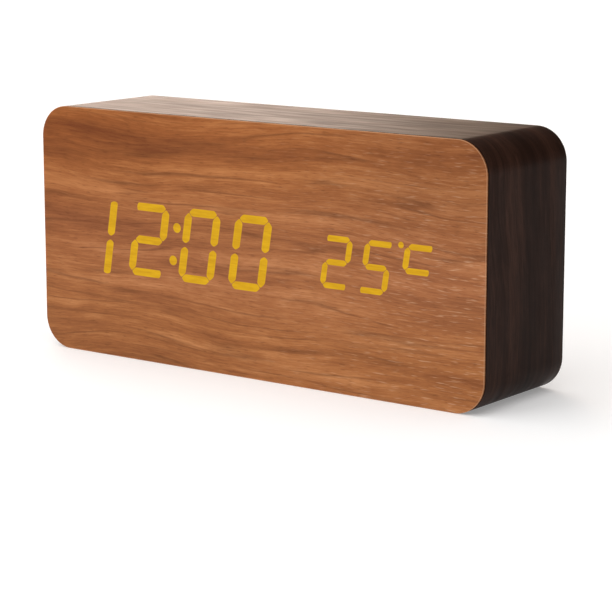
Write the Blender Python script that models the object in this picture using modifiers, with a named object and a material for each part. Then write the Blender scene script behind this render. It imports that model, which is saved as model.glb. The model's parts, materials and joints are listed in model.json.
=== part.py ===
"""Wood-cased LED alarm clock, 150 x 70 x 39 mm, built as the assembly of its separate pieces.

Units are metres, written as millimetres times MM. +Z is up, the display faces -Y, and the origin is the middle of
the underside. Most pieces are plates that stand in the X-Z plane, stacked along Y from the veneer to the rear cover.
"""

import math

import bmesh
import bpy
from mathutils import Matrix, Vector

MM = 0.001

# ---------------------------------------------------------------- driving dimensions

# Case
WIDTH = 150 * MM
HEIGHT = 70 * MM
DEPTH = 39 * MM
CORNER_RADIUS = 9 * MM
GAP = 0.3 * MM  # left between two pieces that touch
VENEER = 0.6 * MM
SLEEVE_WALL = 7 * MM
CAVITY_RADIUS = 2 * MM
CORNER_BLOCK = 8 * MM

# Display: a digit is a skeleton of seven strokes, leaning right
FRONT_BOARD = 3.5 * MM
GUIDE_PLATE = 1.0 * MM
REFLECTOR = 6.0 * MM
BOARD = 1.6 * MM  # both circuit boards
SLANT = 0.16
TIME_SIZE = (10.0 * MM, 18.5 * MM)
TIME_STROKE = 2.3 * MM
TIME_DROP = 9.7 * MM  # from the middle of the front down to the digits' base line
TIME_LEFT = 7.0 * MM  # from the cavity's side to the first digit
TIME_STEPS = (0 * MM, 18.8 * MM, 37.2 * MM, 54.8 * MM)  # the digits, from the first one
COLON_STEP = 33.4 * MM
COLON_HEIGHTS = (4.5 * MM, 13.8 * MM)  # above the digits' base line
COLON_RADIUS = 1.35 * MM
SMALL_SIZE = (7.0 * MM, 12.8 * MM)
SMALL_STROKE = 1.7 * MM
SMALL_DROP = 6.3 * MM
UNIT_RIGHT = 18.4 * MM  # from the cavity's other side to the unit letter
SMALL_STEPS = (-25.4 * MM, -12.5 * MM)  # the two small digits, from the unit letter
DEGREE_STEP = -2.4 * MM
DEGREE_HEIGHT = 13.0 * MM
DEGREE_RADIUS = 0.85 * MM
SLOT_WEB = 0.64 * MM  # wood left between two slots that meet at a corner
MODULE_MARGIN = 2.5 * MM  # from the cavity's sides to the light guide, reflector and display board
MODULE_SCREW_INSET = 3.2 * MM
LED_SIZE = (1.6 * MM, 0.8 * MM, 0.6 * MM)

# Rear cover and battery bay
COVER_RECESS = 1.0 * MM
COVER_PLATE = 2.4 * MM
COVER_RADIUS = 1.6 * MM
DOOR_PLATE = 1.6 * MM
DOOR_RECESS = 0.3 * MM
BAY_LEDGE = 1.2 * MM
BAY_WALL = 1.5 * MM
BAY_COLLAR = 1.5 * MM  # how far the stiffening collar stands out round the door opening
BAY_COLLAR_DEPTH = 1.5 * MM
CELL_RADIUS = 5.25 * MM
CELL_LENGTH = 44.5 * MM
CELL_NUB = (1.9 * MM, 0.8 * MM)  # radius and height of the positive end
CELL_SPACING = 0.4 * MM  # between two cells
BAY_CLEARANCE = 0.35 * MM  # between the cells and the bay's upper and lower walls
CONTACT_GAP = 0.5 * MM  # from a contact to the wall behind it
CONTACT_PLATE = 0.4 * MM
CONTACT_SIZE = 8.0 * MM
CONTACT_PIP = 0.6 * MM
TAB_WIDTH = 2.4 * MM
SPRING_WIRE = 0.3 * MM  # radius
SPRING_RADII = (3.1 * MM, 1.9 * MM)
SPRING_TURNS = 4
SPRING_LENGTH = 3.8 * MM  # as pressed by a cell
HINGE_PIN_RADIUS = 0.5 * MM
HINGE_PIN_LENGTH = 1.2 * MM
LATCH_WIDTH = 10 * MM
LATCH_LENGTH = 2.6 * MM
LATCH_THINNER = 0.2 * MM  # than the door, on each side
LATCH_BACKING = 1.5 * MM
RIB_COUNT = 6
RIB_SIZE = (22 * MM, 0.8 * MM, 0.3 * MM)
RIB_PITCH = 2.2 * MM

# Control board, behind the rear cover on the side away from the batteries
CONTROL_SIZE = (48 * MM, 38 * MM)
STANDOFF = 6.0 * MM
POST_RADIUS = 2.5 * MM
POST_INSET = 4.0 * MM
BUTTON_PITCH = 12.0 * MM
BUTTON_RISE = 9.0 * MM  # above the board's middle
BUTTON_RADIUS = 3.0 * MM
BUTTON_PROUD = 0.8 * MM
BUTTON_FLANGE = (4.0 * MM, 1.0 * MM)  # radius and thickness
BUTTON_TRAVEL = 0.6 * MM
PLUNGER_GAP = 0.35 * MM  # free play between a cap's stem and its switch
PLUNGER_RADIUS = 1.75 * MM
PLUNGER_HEIGHT = 0.8 * MM  # above the switch body
PLUNGER_SUNK = 1.4 * MM
SWITCH_SIDE = 6.0 * MM
SWITCH_BODY = 3.0 * MM
JACK_OFFSET = (12.0 * MM, -9.0 * MM)  # from the board's middle, X and Z
JACK_SIDE = 8.0 * MM
JACK_NOSE_RADIUS = 3.4 * MM
JACK_BORE_RADIUS = 1.9 * MM
JACK_BORE_DEPTH = 6.5 * MM
JACK_PIN_RADIUS = 0.5 * MM
BUZZER_OFFSET = (-12.0 * MM, -9.0 * MM)
BUZZER_RADIUS = 6.0 * MM
GRILLE_SLOT = (8.0 * MM, 1.0 * MM)
GRILLE_PITCH = 2.2 * MM
GRILLE_COUNT = 5
MIC_OFFSET = (1.0 * MM, -11.0 * MM)
MIC_RADIUS = 3.0 * MM
MIC_HEIGHT = 2.7 * MM
MIC_HOLE_RADIUS = 0.75 * MM
THERMISTOR_OFFSET = (20.5 * MM, 0.0 * MM)
THERMISTOR_RADIUS = 1.1 * MM
VENT_SLOT = (5.0 * MM, 1.0 * MM)
VENT_PITCH = 2.2 * MM
VENT_COUNT = 3
COIN_OFFSET = (-9.0 * MM, -2.0 * MM)
COIN_RADIUS = 10.0 * MM
COIN_THICKNESS = 3.2 * MM
HOLDER_WALL = 1.2 * MM
HOLDER_BASE = 1.0 * MM
MCU_OFFSET = (13.0 * MM, 8.0 * MM)
DRIVER_X = -33.0 * MM
CHIP_BODY = (10.0 * MM, 4.0 * MM, 1.8 * MM)  # X, Z and height
CHIP_LEGS = 8
CHIP_LEG = (0.4 * MM, 1.0 * MM, 0.6 * MM)
RIBBON_WIDTH = 12.0 * MM
RIBBON_THICKNESS = 0.9 * MM
RIBBON_OFFSET_X = 6.0 * MM  # the ribbon's rear end against its front end
RIBBON_OFFSET = (10.0 * MM, -9.0 * MM)  # rear header from the control board's middle
HEADER_SIZE = (4.0 * MM, 14.0 * MM, 2.4 * MM)
WIRE_RADIUS = 0.6 * MM

# Screws: shank radius, head radius, head height, clearance hole radius
COVER_SCREW = (1.3 * MM, 2.5 * MM, 1.0 * MM, 1.6 * MM)
COVER_SCREW_LENGTH = 12 * MM
BOARD_SCREW = (1.0 * MM, 1.9 * MM, 1.2 * MM, 1.3 * MM)
COUNTERBORE_DEPTH = 1.4 * MM

# Fineness of round shapes
CORNER_STEPS = 8
CIRCLE_STEPS = 20
SMALL_CIRCLE_STEPS = 12
SCREW_STEPS = 10

# ---------------------------------------------------------------- derived positions

FRONT = -DEPTH / 2
REAR = DEPTH / 2
MIDDLE_Z = HEIGHT / 2
CAVITY_WIDTH = WIDTH - 2 * SLEEVE_WALL
CAVITY_HEIGHT = HEIGHT - 2 * SLEEVE_WALL
TIME_X = -CAVITY_WIDTH / 2 + TIME_LEFT
UNIT_X = CAVITY_WIDTH / 2 - UNIT_RIGHT
TIME_BASE = MIDDLE_Z - TIME_DROP
SMALL_BASE = MIDDLE_Z - SMALL_DROP
BLOCK_ROOM = CORNER_BLOCK + 2 * GAP  # from the cavity's side to what stands clear of a corner block
MODULE_SIZE = (CAVITY_WIDTH - 2 * MODULE_MARGIN, CAVITY_HEIGHT - 2 * BLOCK_ROOM)
CASE_FRONT = FRONT + VENEER + GAP
BOARD_SLOT_BACK = CASE_FRONT + FRONT_BOARD
GUIDE_FRONT = BOARD_SLOT_BACK + GAP
GUIDE_BACK = GUIDE_FRONT + GUIDE_PLATE
REFLECTOR_FRONT = GUIDE_BACK + GAP
REFLECTOR_BACK = REFLECTOR_FRONT + REFLECTOR
DISPLAY_FRONT = REFLECTOR_BACK + GAP
DISPLAY_BACK = DISPLAY_FRONT + BOARD
COVER_FACE = REAR - COVER_RECESS
COVER_INSIDE = COVER_FACE - COVER_PLATE
COVER_SIZE = (CAVITY_WIDTH - 2 * GAP, CAVITY_HEIGHT - 2 * GAP)
CONTROL_BACK = COVER_INSIDE - STANDOFF - GAP
CONTROL_FRONT = CONTROL_BACK - BOARD
CONTROL_X = CAVITY_WIDTH / 2 - BLOCK_ROOM - CONTROL_SIZE[0] / 2
PLATE_REACH = CONTACT_GAP + CONTACT_PLATE
POSITIVE_REACH = PLATE_REACH + CONTACT_PIP + GAP  # from a wall to the positive end that presses on its contact
NEGATIVE_REACH = PLATE_REACH + GAP + SPRING_LENGTH + GAP
CELL_PITCH = 2 * CELL_RADIUS + CELL_SPACING
BAY_SIZE = (
    POSITIVE_REACH + CELL_LENGTH + NEGATIVE_REACH,
    2 * CELL_PITCH + 2 * (CELL_RADIUS + BAY_CLEARANCE),
)
DOOR_OPENING = (BAY_SIZE[0] + 2 * BAY_LEDGE, BAY_SIZE[1] + 2 * BAY_LEDGE)
BAY_X = -CAVITY_WIDTH / 2 + BLOCK_ROOM + BAY_COLLAR + DOOR_OPENING[0] / 2
DOOR_FACE = COVER_FACE - DOOR_RECESS
DOOR_INSIDE = DOOR_FACE - DOOR_PLATE
LEDGE_TOP = DOOR_INSIDE - GAP
CELL_Y = LEDGE_TOP - CELL_RADIUS
BAY_FLOOR = CELL_Y - CELL_RADIUS - GAP
BAY_BACK = BAY_FLOOR - BAY_WALL
HINGE_Y = DOOR_FACE - DOOR_PLATE / 2
HINGE_Z = MIDDLE_Z - DOOR_OPENING[1] / 2 + GAP + DOOR_PLATE / 2
BLOCK_X = CAVITY_WIDTH / 2 - GAP - CORNER_BLOCK / 2
BLOCK_Z = CAVITY_HEIGHT / 2 - GAP - CORNER_BLOCK / 2
SWITCH_TOP = CONTROL_BACK + GAP + SWITCH_BODY
BUTTON_NAMES = ("set", "up", "down")
BUTTON_Z = MIDDLE_Z + BUTTON_RISE


def signed_corners(half_x, half_z):
    """The four (x, z) corners of a rectangle about the middle of the case."""
    return [(sx * half_x, MIDDLE_Z + sz * half_z) for sx in (-1, 1) for sz in (-1, 1)]


BLOCK_CENTRES = signed_corners(BLOCK_X, BLOCK_Z)
MODULE_SCREWS = signed_corners(MODULE_SIZE[0] / 2 - MODULE_SCREW_INSET, MODULE_SIZE[1] / 2 - MODULE_SCREW_INSET)
CONTROL_SCREWS = [
    (CONTROL_X + sx * (CONTROL_SIZE[0] / 2 - POST_INSET), MIDDLE_Z + sz * (CONTROL_SIZE[1] / 2 - POST_INSET))
    for sx in (-1, 1)
    for sz in (-1, 1)
]


def on_control(offset):
    """An (x, z) place on the control board, from its offset from the board's middle."""
    return (CONTROL_X + offset[0], MIDDLE_Z + offset[1])


BUTTON_CENTRES = [(CONTROL_X + (i - 1) * BUTTON_PITCH, BUTTON_Z) for i in (2, 1, 0)]

# ---------------------------------------------------------------- scene and materials

for old in list(bpy.data.objects):
    bpy.data.objects.remove(old, do_unlink=True)

PARTS = bpy.data.collections.new("alarm_clock")
CUTTERS = bpy.data.collections.new("alarm_clock_cutters")
for made in (PARTS, CUTTERS):
    bpy.context.scene.collection.children.link(made)

FINISHES = {  # colour, roughness, metallic
    "front_walnut": ((0.36, 0.15, 0.055), 0.55, 0.0),
    "dark_walnut": ((0.030, 0.016, 0.010), 0.45, 0.0),
    "mdf": ((0.45, 0.32, 0.20), 0.85, 0.0),
    "milky_plastic": ((0.85, 0.84, 0.80), 0.35, 0.0),
    "white_plastic": ((0.80, 0.80, 0.78), 0.45, 0.0),
    "black_plastic": ((0.018, 0.018, 0.019), 0.50, 0.0),
    "board_green": ((0.02, 0.16, 0.06), 0.40, 0.0),
    "chip_black": ((0.015, 0.015, 0.016), 0.55, 0.0),
    "steel": ((0.60, 0.60, 0.61), 0.30, 1.0),
    "nickel": ((0.66, 0.64, 0.60), 0.22, 1.0),
    "cell_jacket": ((0.05, 0.09, 0.12), 0.30, 0.3),
    "grey_ribbon": ((0.35, 0.35, 0.36), 0.55, 0.0),
    "red_wire": ((0.55, 0.02, 0.02), 0.45, 0.0),
    "black_wire": ((0.02, 0.02, 0.02), 0.45, 0.0),
    "epoxy": ((0.03, 0.03, 0.03), 0.40, 0.0),
}


def finish(name):
    """The Principled material of that name, made once."""
    material = bpy.data.materials.get(name)
    if material is None:
        material = bpy.data.materials.new(name)
        material.use_nodes = True
        colour, roughness, metallic = FINISHES[name]
        shader = material.node_tree.nodes["Principled BSDF"]
        shader.inputs["Base Color"].default_value = (*colour, 1)
        shader.inputs["Roughness"].default_value = roughness
        shader.inputs["Metallic"].default_value = metallic
    return material


# ---------------------------------------------------------------- outlines in the X-Z plane


def rectangle(width, height, centre=(0, 0)):
    x, z = centre
    return [(x + sx * width / 2, z + sz * height / 2) for sx, sz in ((-1, -1), (1, -1), (1, 1), (-1, 1))]


def rounded_rectangle(width, height, radius, centre=(0, 0), steps=CORNER_STEPS):
    """A rectangle whose corners are arcs, anticlockwise from the lower right."""
    x, z = centre
    points = []
    for corner, (sx, sz) in enumerate(((1, -1), (1, 1), (-1, 1), (-1, -1))):
        middle = (x + sx * (width / 2 - radius), z + sz * (height / 2 - radius))
        for step in range(steps + 1):
            angle = math.pi / 2 * (corner - 1 + step / steps)
            points.append((middle[0] + radius * math.cos(angle), middle[1] + radius * math.sin(angle)))
    return points


def circle(radius, centre, steps=SMALL_CIRCLE_STEPS):
    """A ring of points, turned by half a step so that no two lie level with its centre."""
    angles = [2 * math.pi * (i + 0.5) / steps for i in range(steps)]
    return [(centre[0] + radius * math.cos(a), centre[1] + radius * math.sin(a)) for a in angles]


def stroke(start, end, thickness, inset):
    """A segment of a digit: a bar from start to end with 45 degree points, each end drawn in by inset."""
    along = (Vector(end) - Vector(start)).normalized()
    side = Vector((-along.y, along.x)) * thickness / 2
    a = Vector(start) + along * inset
    b = Vector(end) - along * inset
    shoulder = along * thickness / 2
    return [a, a + shoulder - side, b - shoulder - side, b, b - shoulder + side, a + shoulder + side]


def digit_strokes(size, segments):
    """Start and end of the named segments, in the digit's own upright frame."""
    width, height = size
    low, mid, high = 0, height / 2, height
    places = {
        "a": ((0, high), (width, high)),
        "b": ((width, mid), (width, high)),
        "c": ((width, low), (width, mid)),
        "d": ((0, low), (width, low)),
        "e": ((0, low), (0, mid)),
        "f": ((0, mid), (0, high)),
        "g": ((0, mid), (width, mid)),
    }
    return [places[name] for name in segments]


def leaning(points, left, base):
    """Points of a digit's frame, leaned by SLANT and put with its lower left skeleton corner at (left, base)."""
    return [(left + x + SLANT * z, base + z) for x, z in points]


def display_outlines(shrink):
    """Every segment and dot of the display, each drawn in by shrink from the slot in the front board."""
    web = SLOT_WEB / math.sqrt(2) + shrink * math.sqrt(2)
    outlines = []
    rows = [(TIME_X + step, TIME_BASE, TIME_SIZE, TIME_STROKE, "abcdefg") for step in TIME_STEPS]
    rows += [(UNIT_X + step, SMALL_BASE, SMALL_SIZE, SMALL_STROKE, "abcdefg") for step in SMALL_STEPS]
    rows.append((UNIT_X, SMALL_BASE, SMALL_SIZE, SMALL_STROKE, "aefg"))
    for left, base, size, thickness, segments in rows:
        for start, end in digit_strokes(size, segments):
            bar = stroke(start, end, thickness - 2 * shrink, web)
            outlines.append(leaning(bar, left, base))
    for height in COLON_HEIGHTS:
        centre = (TIME_X + COLON_STEP + SLANT * height, TIME_BASE + height)
        outlines.append(circle(COLON_RADIUS - shrink, centre, SCREW_STEPS))
    centre = (UNIT_X + DEGREE_STEP + SLANT * DEGREE_HEIGHT, SMALL_BASE + DEGREE_HEIGHT)
    outlines.append(circle(DEGREE_RADIUS - shrink / 2, centre, 8))
    return outlines


# ---------------------------------------------------------------- solids


def as_object(name, mesh, material=None):
    """The mesh as a part if it has a material, and as a hidden cutter if it has none."""
    obj = bpy.data.objects.new(name, mesh)
    if material:
        mesh.materials.append(finish(material))
        PARTS.objects.link(obj)
    else:
        obj.hide_render = True
        obj.display_type = "WIRE"
        CUTTERS.objects.link(obj)
    return obj


def extruded(name, outlines, low, high, turn, material=None):
    """Closed outlines, the inner ones being holes, filled and extruded from low to high along the turned Z axis."""
    curve = bpy.data.curves.new(name, "CURVE")
    curve.dimensions = "2D"
    curve.fill_mode = "BOTH"
    curve.extrude = (high - low) / 2
    for outline in outlines:
        spline = curve.splines.new("POLY")
        spline.points.add(len(outline) - 1)
        for point, (u, v) in zip(spline.points, outline):
            point.co = (u, v, 0, 1)
        spline.use_cyclic_u = True
    flat = bpy.data.objects.new(name + "_outline", curve)
    bpy.context.scene.collection.objects.link(flat)
    flat.matrix_world = turn @ Matrix.Translation((0, 0, (low + high) / 2))
    bpy.context.view_layer.update()
    graph = bpy.context.evaluated_depsgraph_get()
    mesh = bpy.data.meshes.new_from_object(flat.evaluated_get(graph))
    mesh.name = name
    mesh.transform(flat.matrix_world)
    weld(mesh)
    bpy.data.objects.remove(flat)
    return as_object(name, mesh, material)


def weld(mesh):
    shape = bmesh.new()
    shape.from_mesh(mesh)
    bmesh.ops.remove_doubles(shape, verts=shape.verts, dist=0.001 * MM)
    bmesh.ops.recalc_face_normals(shape, faces=shape.faces)
    shape.to_mesh(mesh)
    shape.free()


def slab(name, outlines, front, back, material=None):
    """A plate that stands in the X-Z plane, from front to back along Y."""
    turn = Matrix(((1, 0, 0, 0), (0, 0, -1, 0), (0, 1, 0, 0), (0, 0, 0, 1)))
    return extruded(name, outlines, -back, -front, turn, material)


def side_slab(name, outlines, left, right, material=None):
    """A plate that stands in the Y-Z plane, from left to right along X. Its outlines are (y, z) points."""
    turn = Matrix(((0, 0, 1, 0), (1, 0, 0, 0), (0, 1, 0, 0), (0, 0, 0, 1)))
    return extruded(name, outlines, left, right, turn, material)


def box(name, low, high, material=None):
    shape = bmesh.new()
    size = [b - a for a, b in zip(low, high)]
    middle = [(a + b) / 2 for a, b in zip(low, high)]
    place = Matrix.Translation(middle) @ Matrix.Diagonal((*size, 1))
    bmesh.ops.create_cube(shape, size=1, matrix=place)
    mesh = bpy.data.meshes.new(name)
    shape.to_mesh(mesh)
    shape.free()
    return as_object(name, mesh, material)


def turned(name, profile, centre, material=None, axis="Y", steps=CIRCLE_STEPS):
    """A profile of (radius, height) points, from the top on the axis to the bottom on the axis, turned about a line
    through centre. The heights run along +Y, or along +X or -X when axis says so."""
    mesh = bpy.data.meshes.new(name)
    mesh.from_pydata([(r, 0, h) for r, h in profile], [(i, i + 1) for i in range(len(profile) - 1)], [])
    obj = as_object(name, mesh, material)
    quarter = math.pi / 2
    turn = {"Y": (-quarter, 0, 0), "X": (0, quarter, 0), "-X": (0, -quarter, 0)}[axis]
    obj.location = centre
    obj.rotation_euler = turn
    screw = obj.modifiers.new("turn", "SCREW")
    screw.axis = "Z"
    screw.steps = screw.render_steps = steps
    screw.use_merge_vertices = True
    screw.merge_threshold = 0.01 * MM
    screw.use_smooth_shade = False
    return obj


def rod(radius, bottom, top):
    """The profile of a plain round bar."""
    return [(0, top), (radius, top), (radius, bottom), (0, bottom)]


def wire(name, points, radius, material, sides=2):
    """A round wire through the points."""
    curve = bpy.data.curves.new(name, "CURVE")
    curve.dimensions = "3D"
    curve.bevel_depth = radius
    curve.bevel_resolution = sides
    curve.use_fill_caps = True
    spline = curve.splines.new("POLY")
    spline.points.add(len(points) - 1)
    for target, point in zip(spline.points, points):
        target.co = (*point, 1)
    curve.materials.append(finish(material))
    obj = bpy.data.objects.new(name, curve)
    PARTS.objects.link(obj)
    return obj


def boolean(target, other, operation):
    modifier = target.modifiers.new(f"{operation.lower()} {other.name}", "BOOLEAN")
    modifier.operation = operation
    modifier.solver = "EXACT"
    modifier.object = other
    return target


def cut(target, *cutters):
    for cutter in cutters:
        boolean(target, cutter, "DIFFERENCE")
    return target


def join(target, *others):
    for other in others:
        boolean(target, other, "UNION")
    return target


def origin_at(obj, point):
    """Moves the object's origin to a point, on its joint's axis, and leaves its shape where it is."""
    shift = obj.matrix_basis.inverted() @ Vector(point)
    obj.data.transform(Matrix.Translation(-shift))
    obj.location = point
    return obj


def screw(name, sizes, centre, seat, tip, points_back):
    """A pan-head screw along Y. Its head rests at seat and it ends at tip, which is in front if points_back is False."""
    shank, head, height, _ = sizes
    way = 1 if points_back else -1
    reach = abs(tip - seat)
    point = 1.5 * shank
    recess = height * 0.5
    # heights run from the tip, at 0, to the top of the head
    profile = [
        (0, reach + height - recess),
        (head * 0.30, reach + height),
        (head * 0.75, reach + height),
        (head, reach + height * 0.6),
        (head, reach),
        (shank, reach),
        (shank, point),
        (0, 0),
    ]
    obj = turned(name, profile, (centre[0], tip, centre[1]), "steel", steps=SCREW_STEPS)
    if way > 0:
        obj.rotation_euler = (math.pi / 2, 0, 0)
    return obj


# ---------------------------------------------------------------- case


def make_case():
    outer = rounded_rectangle(WIDTH, HEIGHT, CORNER_RADIUS, (0, MIDDLE_Z))
    cavity = rounded_rectangle(CAVITY_WIDTH, CAVITY_HEIGHT, CAVITY_RADIUS, (0, MIDDLE_Z))
    slab("front_veneer", [outer], FRONT, FRONT + VENEER, "front_walnut")

    slab("case_sleeve", [outer, cavity], CASE_FRONT, REAR, "dark_walnut")

    for number, centre in enumerate(BLOCK_CENTRES, 1):
        pilot = circle(COVER_SCREW[3], centre, SCREW_STEPS)
        square = rounded_rectangle(CORNER_BLOCK, CORNER_BLOCK, CAVITY_RADIUS - GAP, centre, 3)
        slab(f"corner_block_{number}", [square, pilot], GUIDE_FRONT, COVER_INSIDE - GAP, "mdf")


# ---------------------------------------------------------------- display stack


def make_display():
    inside = rounded_rectangle(
        CAVITY_WIDTH - 2 * GAP, CAVITY_HEIGHT - 2 * GAP, CAVITY_RADIUS - GAP, (0, MIDDLE_Z)
    )
    module = rounded_rectangle(*MODULE_SIZE, CAVITY_RADIUS - GAP, (0, MIDDLE_Z), 3)
    screw_holes = [circle(BOARD_SCREW[3], centre, SCREW_STEPS) for centre in MODULE_SCREWS]
    slots = display_outlines(0)

    slab("front_board", [inside, *slots, *screw_holes], CASE_FRONT, BOARD_SLOT_BACK, "mdf")

    guide = slab("light_guide", [module, *screw_holes], GUIDE_FRONT, GUIDE_BACK, "milky_plastic")
    guide_overlap = GUIDE_PLATE / 2
    join(guide, slab("guide_bosses", display_outlines(GAP), CASE_FRONT, GUIDE_FRONT + guide_overlap))

    slab("reflector_block", [module, *slots, *screw_holes], REFLECTOR_FRONT, REFLECTOR_BACK, "white_plastic")

    board = slab("display_board", [module, *screw_holes], DISPLAY_FRONT, DISPLAY_BACK, "board_green")
    leds = [led_outline(outline) for outline in slots[: -len(COLON_HEIGHTS) - 1]]
    leds += [rectangle(LED_SIZE[1], LED_SIZE[1], middle_of(outline)) for outline in slots[-len(COLON_HEIGHTS) - 1 :]]
    join(board, slab("leds", leds, DISPLAY_FRONT - LED_SIZE[2], DISPLAY_FRONT + BOARD / 2))

    for number, centre in enumerate(MODULE_SCREWS, 1):
        tip = CASE_FRONT + FRONT_BOARD / 3
        screw(f"display_screw_{number}", BOARD_SCREW, centre, DISPLAY_BACK + GAP, tip, False)

    soic("display_driver_chip", (DRIVER_X, MIDDLE_Z), DISPLAY_BACK + GAP, 1)


def middle_of(outline):
    return (sum(p[0] for p in outline) / len(outline), sum(p[1] for p in outline) / len(outline))


def led_outline(outline):
    """The rectangle of an LED in the middle of a segment, turned to lie along it."""
    centre = Vector(middle_of(outline))
    along = (Vector(outline[3]) - Vector(outline[0])).normalized()
    side = Vector((-along.y, along.x))
    half_length, half_width = LED_SIZE[0] / 2, LED_SIZE[1] / 2
    return [
        tuple(centre + along * su * half_length + side * sv * half_width)
        for su, sv in ((-1, -1), (1, -1), (1, 1), (-1, 1))
    ]


def soic(name, centre, foot, way):
    """A chip with a row of legs on its two long sides. Its feet rest at foot, and way is the side of Y it stands on."""
    length, width, height = CHIP_BODY
    leg_width, leg_reach, leg_height = CHIP_LEG
    span = (min(foot, foot + way * height), max(foot, foot + way * height))
    chip = slab(name, [rectangle(length, width, centre)], *span, "chip_black")
    pitch = length / CHIP_LEGS
    legs = []
    for index in range(CHIP_LEGS):
        x = centre[0] + (index - (CHIP_LEGS - 1) / 2) * pitch
        legs.append(rectangle(leg_width, width + 2 * leg_reach, (x, centre[1])))
    leg_span = (min(foot, foot + way * leg_height), max(foot, foot + way * leg_height))
    join(chip, slab(name + "_legs", legs, *leg_span))
    return chip


# ---------------------------------------------------------------- rear cover and battery bay


def hinge_pin_holes():
    """One bar through both sides of the door opening, where the door's pins turn."""
    reach = DOOR_OPENING[0] / 2 + HINGE_PIN_LENGTH + GAP
    return turned(
        "hinge_pin_holes",
        rod(HINGE_PIN_RADIUS + GAP, -reach, reach),
        (BAY_X, HINGE_Y, HINGE_Z),
        axis="X",
        steps=SCREW_STEPS,
    )


def slot_row(centre, slot, pitch, count):
    """Outlines of a stack of round-ended slots."""
    return [
        rounded_rectangle(slot[0], slot[1], slot[1] / 2 - 0.01 * MM, (centre[0], centre[1] + (i - (count - 1) / 2) * pitch), 3)
        for i in range(count)
    ]


def tabbed(half_width, low, high, half_tab, tab_top):
    """A rectangle in the middle of the bay, with a tab for the latch on its upper edge."""
    across = (-half_width, half_width, half_width, half_tab, half_tab, -half_tab, -half_tab, -half_width)
    up = (low, low, high, high, tab_top, tab_top, high, high)
    return [(BAY_X + x, z) for x, z in zip(across, up)]


def make_rear_cover():
    outline = rounded_rectangle(*COVER_SIZE, COVER_RADIUS, (0, MIDDLE_Z))
    holes = [circle(BUTTON_RADIUS + GAP, centre, CIRCLE_STEPS) for centre in BUTTON_CENTRES]
    holes.append(circle(JACK_NOSE_RADIUS + GAP, on_control(JACK_OFFSET), CIRCLE_STEPS))
    holes.append(circle(MIC_HOLE_RADIUS, on_control(MIC_OFFSET), 8))
    holes += slot_row(on_control(BUZZER_OFFSET), GRILLE_SLOT, GRILLE_PITCH, GRILLE_COUNT)
    holes += slot_row(on_control(THERMISTOR_OFFSET), VENT_SLOT, VENT_PITCH, VENT_COUNT)
    cover = slab("rear_cover", [outline, *holes], COVER_INSIDE, COVER_FACE, "black_plastic")
    beyond = COVER_FACE + COVER_PLATE
    for number, centre in enumerate(BLOCK_CENTRES, 1):
        seat = COVER_FACE - COUNTERBORE_DEPTH
        bore = [(0, beyond), (COVER_SCREW[1] + GAP, beyond), (COVER_SCREW[1] + GAP, seat)]
        bore += [(COVER_SCREW[3], seat), (COVER_SCREW[3], COVER_INSIDE - COVER_PLATE), (0, COVER_INSIDE - COVER_PLATE)]
        cut(cover, turned(f"screw_bore_{number}", bore, (centre[0], 0, centre[1]), steps=SMALL_CIRCLE_STEPS + 2))

    middle = (BAY_X, MIDDLE_Z)
    overlap = COVER_PLATE / 4
    bay_outer = rectangle(BAY_SIZE[0] + 2 * BAY_WALL, BAY_SIZE[1] + 2 * BAY_WALL, middle)
    half_width, half_height = DOOR_OPENING[0] / 2, DOOR_OPENING[1] / 2
    half_notch, notch_top = LATCH_WIDTH / 2 + GAP, MIDDLE_Z + half_height + LATCH_LENGTH + GAP
    opening = tabbed(half_width, MIDDLE_Z - half_height, MIDDLE_Z + half_height, half_notch, notch_top)
    collar = tabbed(
        half_width + BAY_COLLAR,
        MIDDLE_Z - half_height - BAY_COLLAR,
        MIDDLE_Z + half_height + BAY_COLLAR,
        half_notch + LATCH_BACKING,
        notch_top + LATCH_BACKING,
    )
    join(
        cover,
        slab("bay_collar", [collar], COVER_INSIDE - BAY_COLLAR_DEPTH, COVER_INSIDE + overlap),
        slab("bay_box", [bay_outer], BAY_BACK, COVER_INSIDE + overlap / 2),
    )
    posts = [circle(POST_RADIUS, centre, SMALL_CIRCLE_STEPS) for centre in CONTROL_SCREWS]
    join(cover, slab("board_posts", posts, CONTROL_BACK + GAP, COVER_INSIDE + overlap))

    pilot_depth = STANDOFF - GAP
    pilots = [circle(BOARD_SCREW[3], centre, SCREW_STEPS) for centre in CONTROL_SCREWS]
    cut(
        cover,
        slab("door_rebate", [opening], LEDGE_TOP, beyond),
        slab("bay_hollow", [rectangle(*BAY_SIZE, middle)], BAY_FLOOR, beyond + COVER_PLATE),
        slab("post_pilots", pilots, CONTROL_BACK - BOARD, CONTROL_BACK + pilot_depth),
        slab("tab_slots", [grown(tab, GAP) for tab in tab_outlines()], BAY_BACK - BAY_WALL, BAY_FLOOR + BAY_WALL),
        hinge_pin_holes(),
    )

    for number, centre in enumerate(BLOCK_CENTRES, 1):
        seat = COVER_FACE - COUNTERBORE_DEPTH + GAP
        screw(f"cover_screw_{number}", COVER_SCREW, centre, seat, seat - COVER_SCREW_LENGTH, False)


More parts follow.
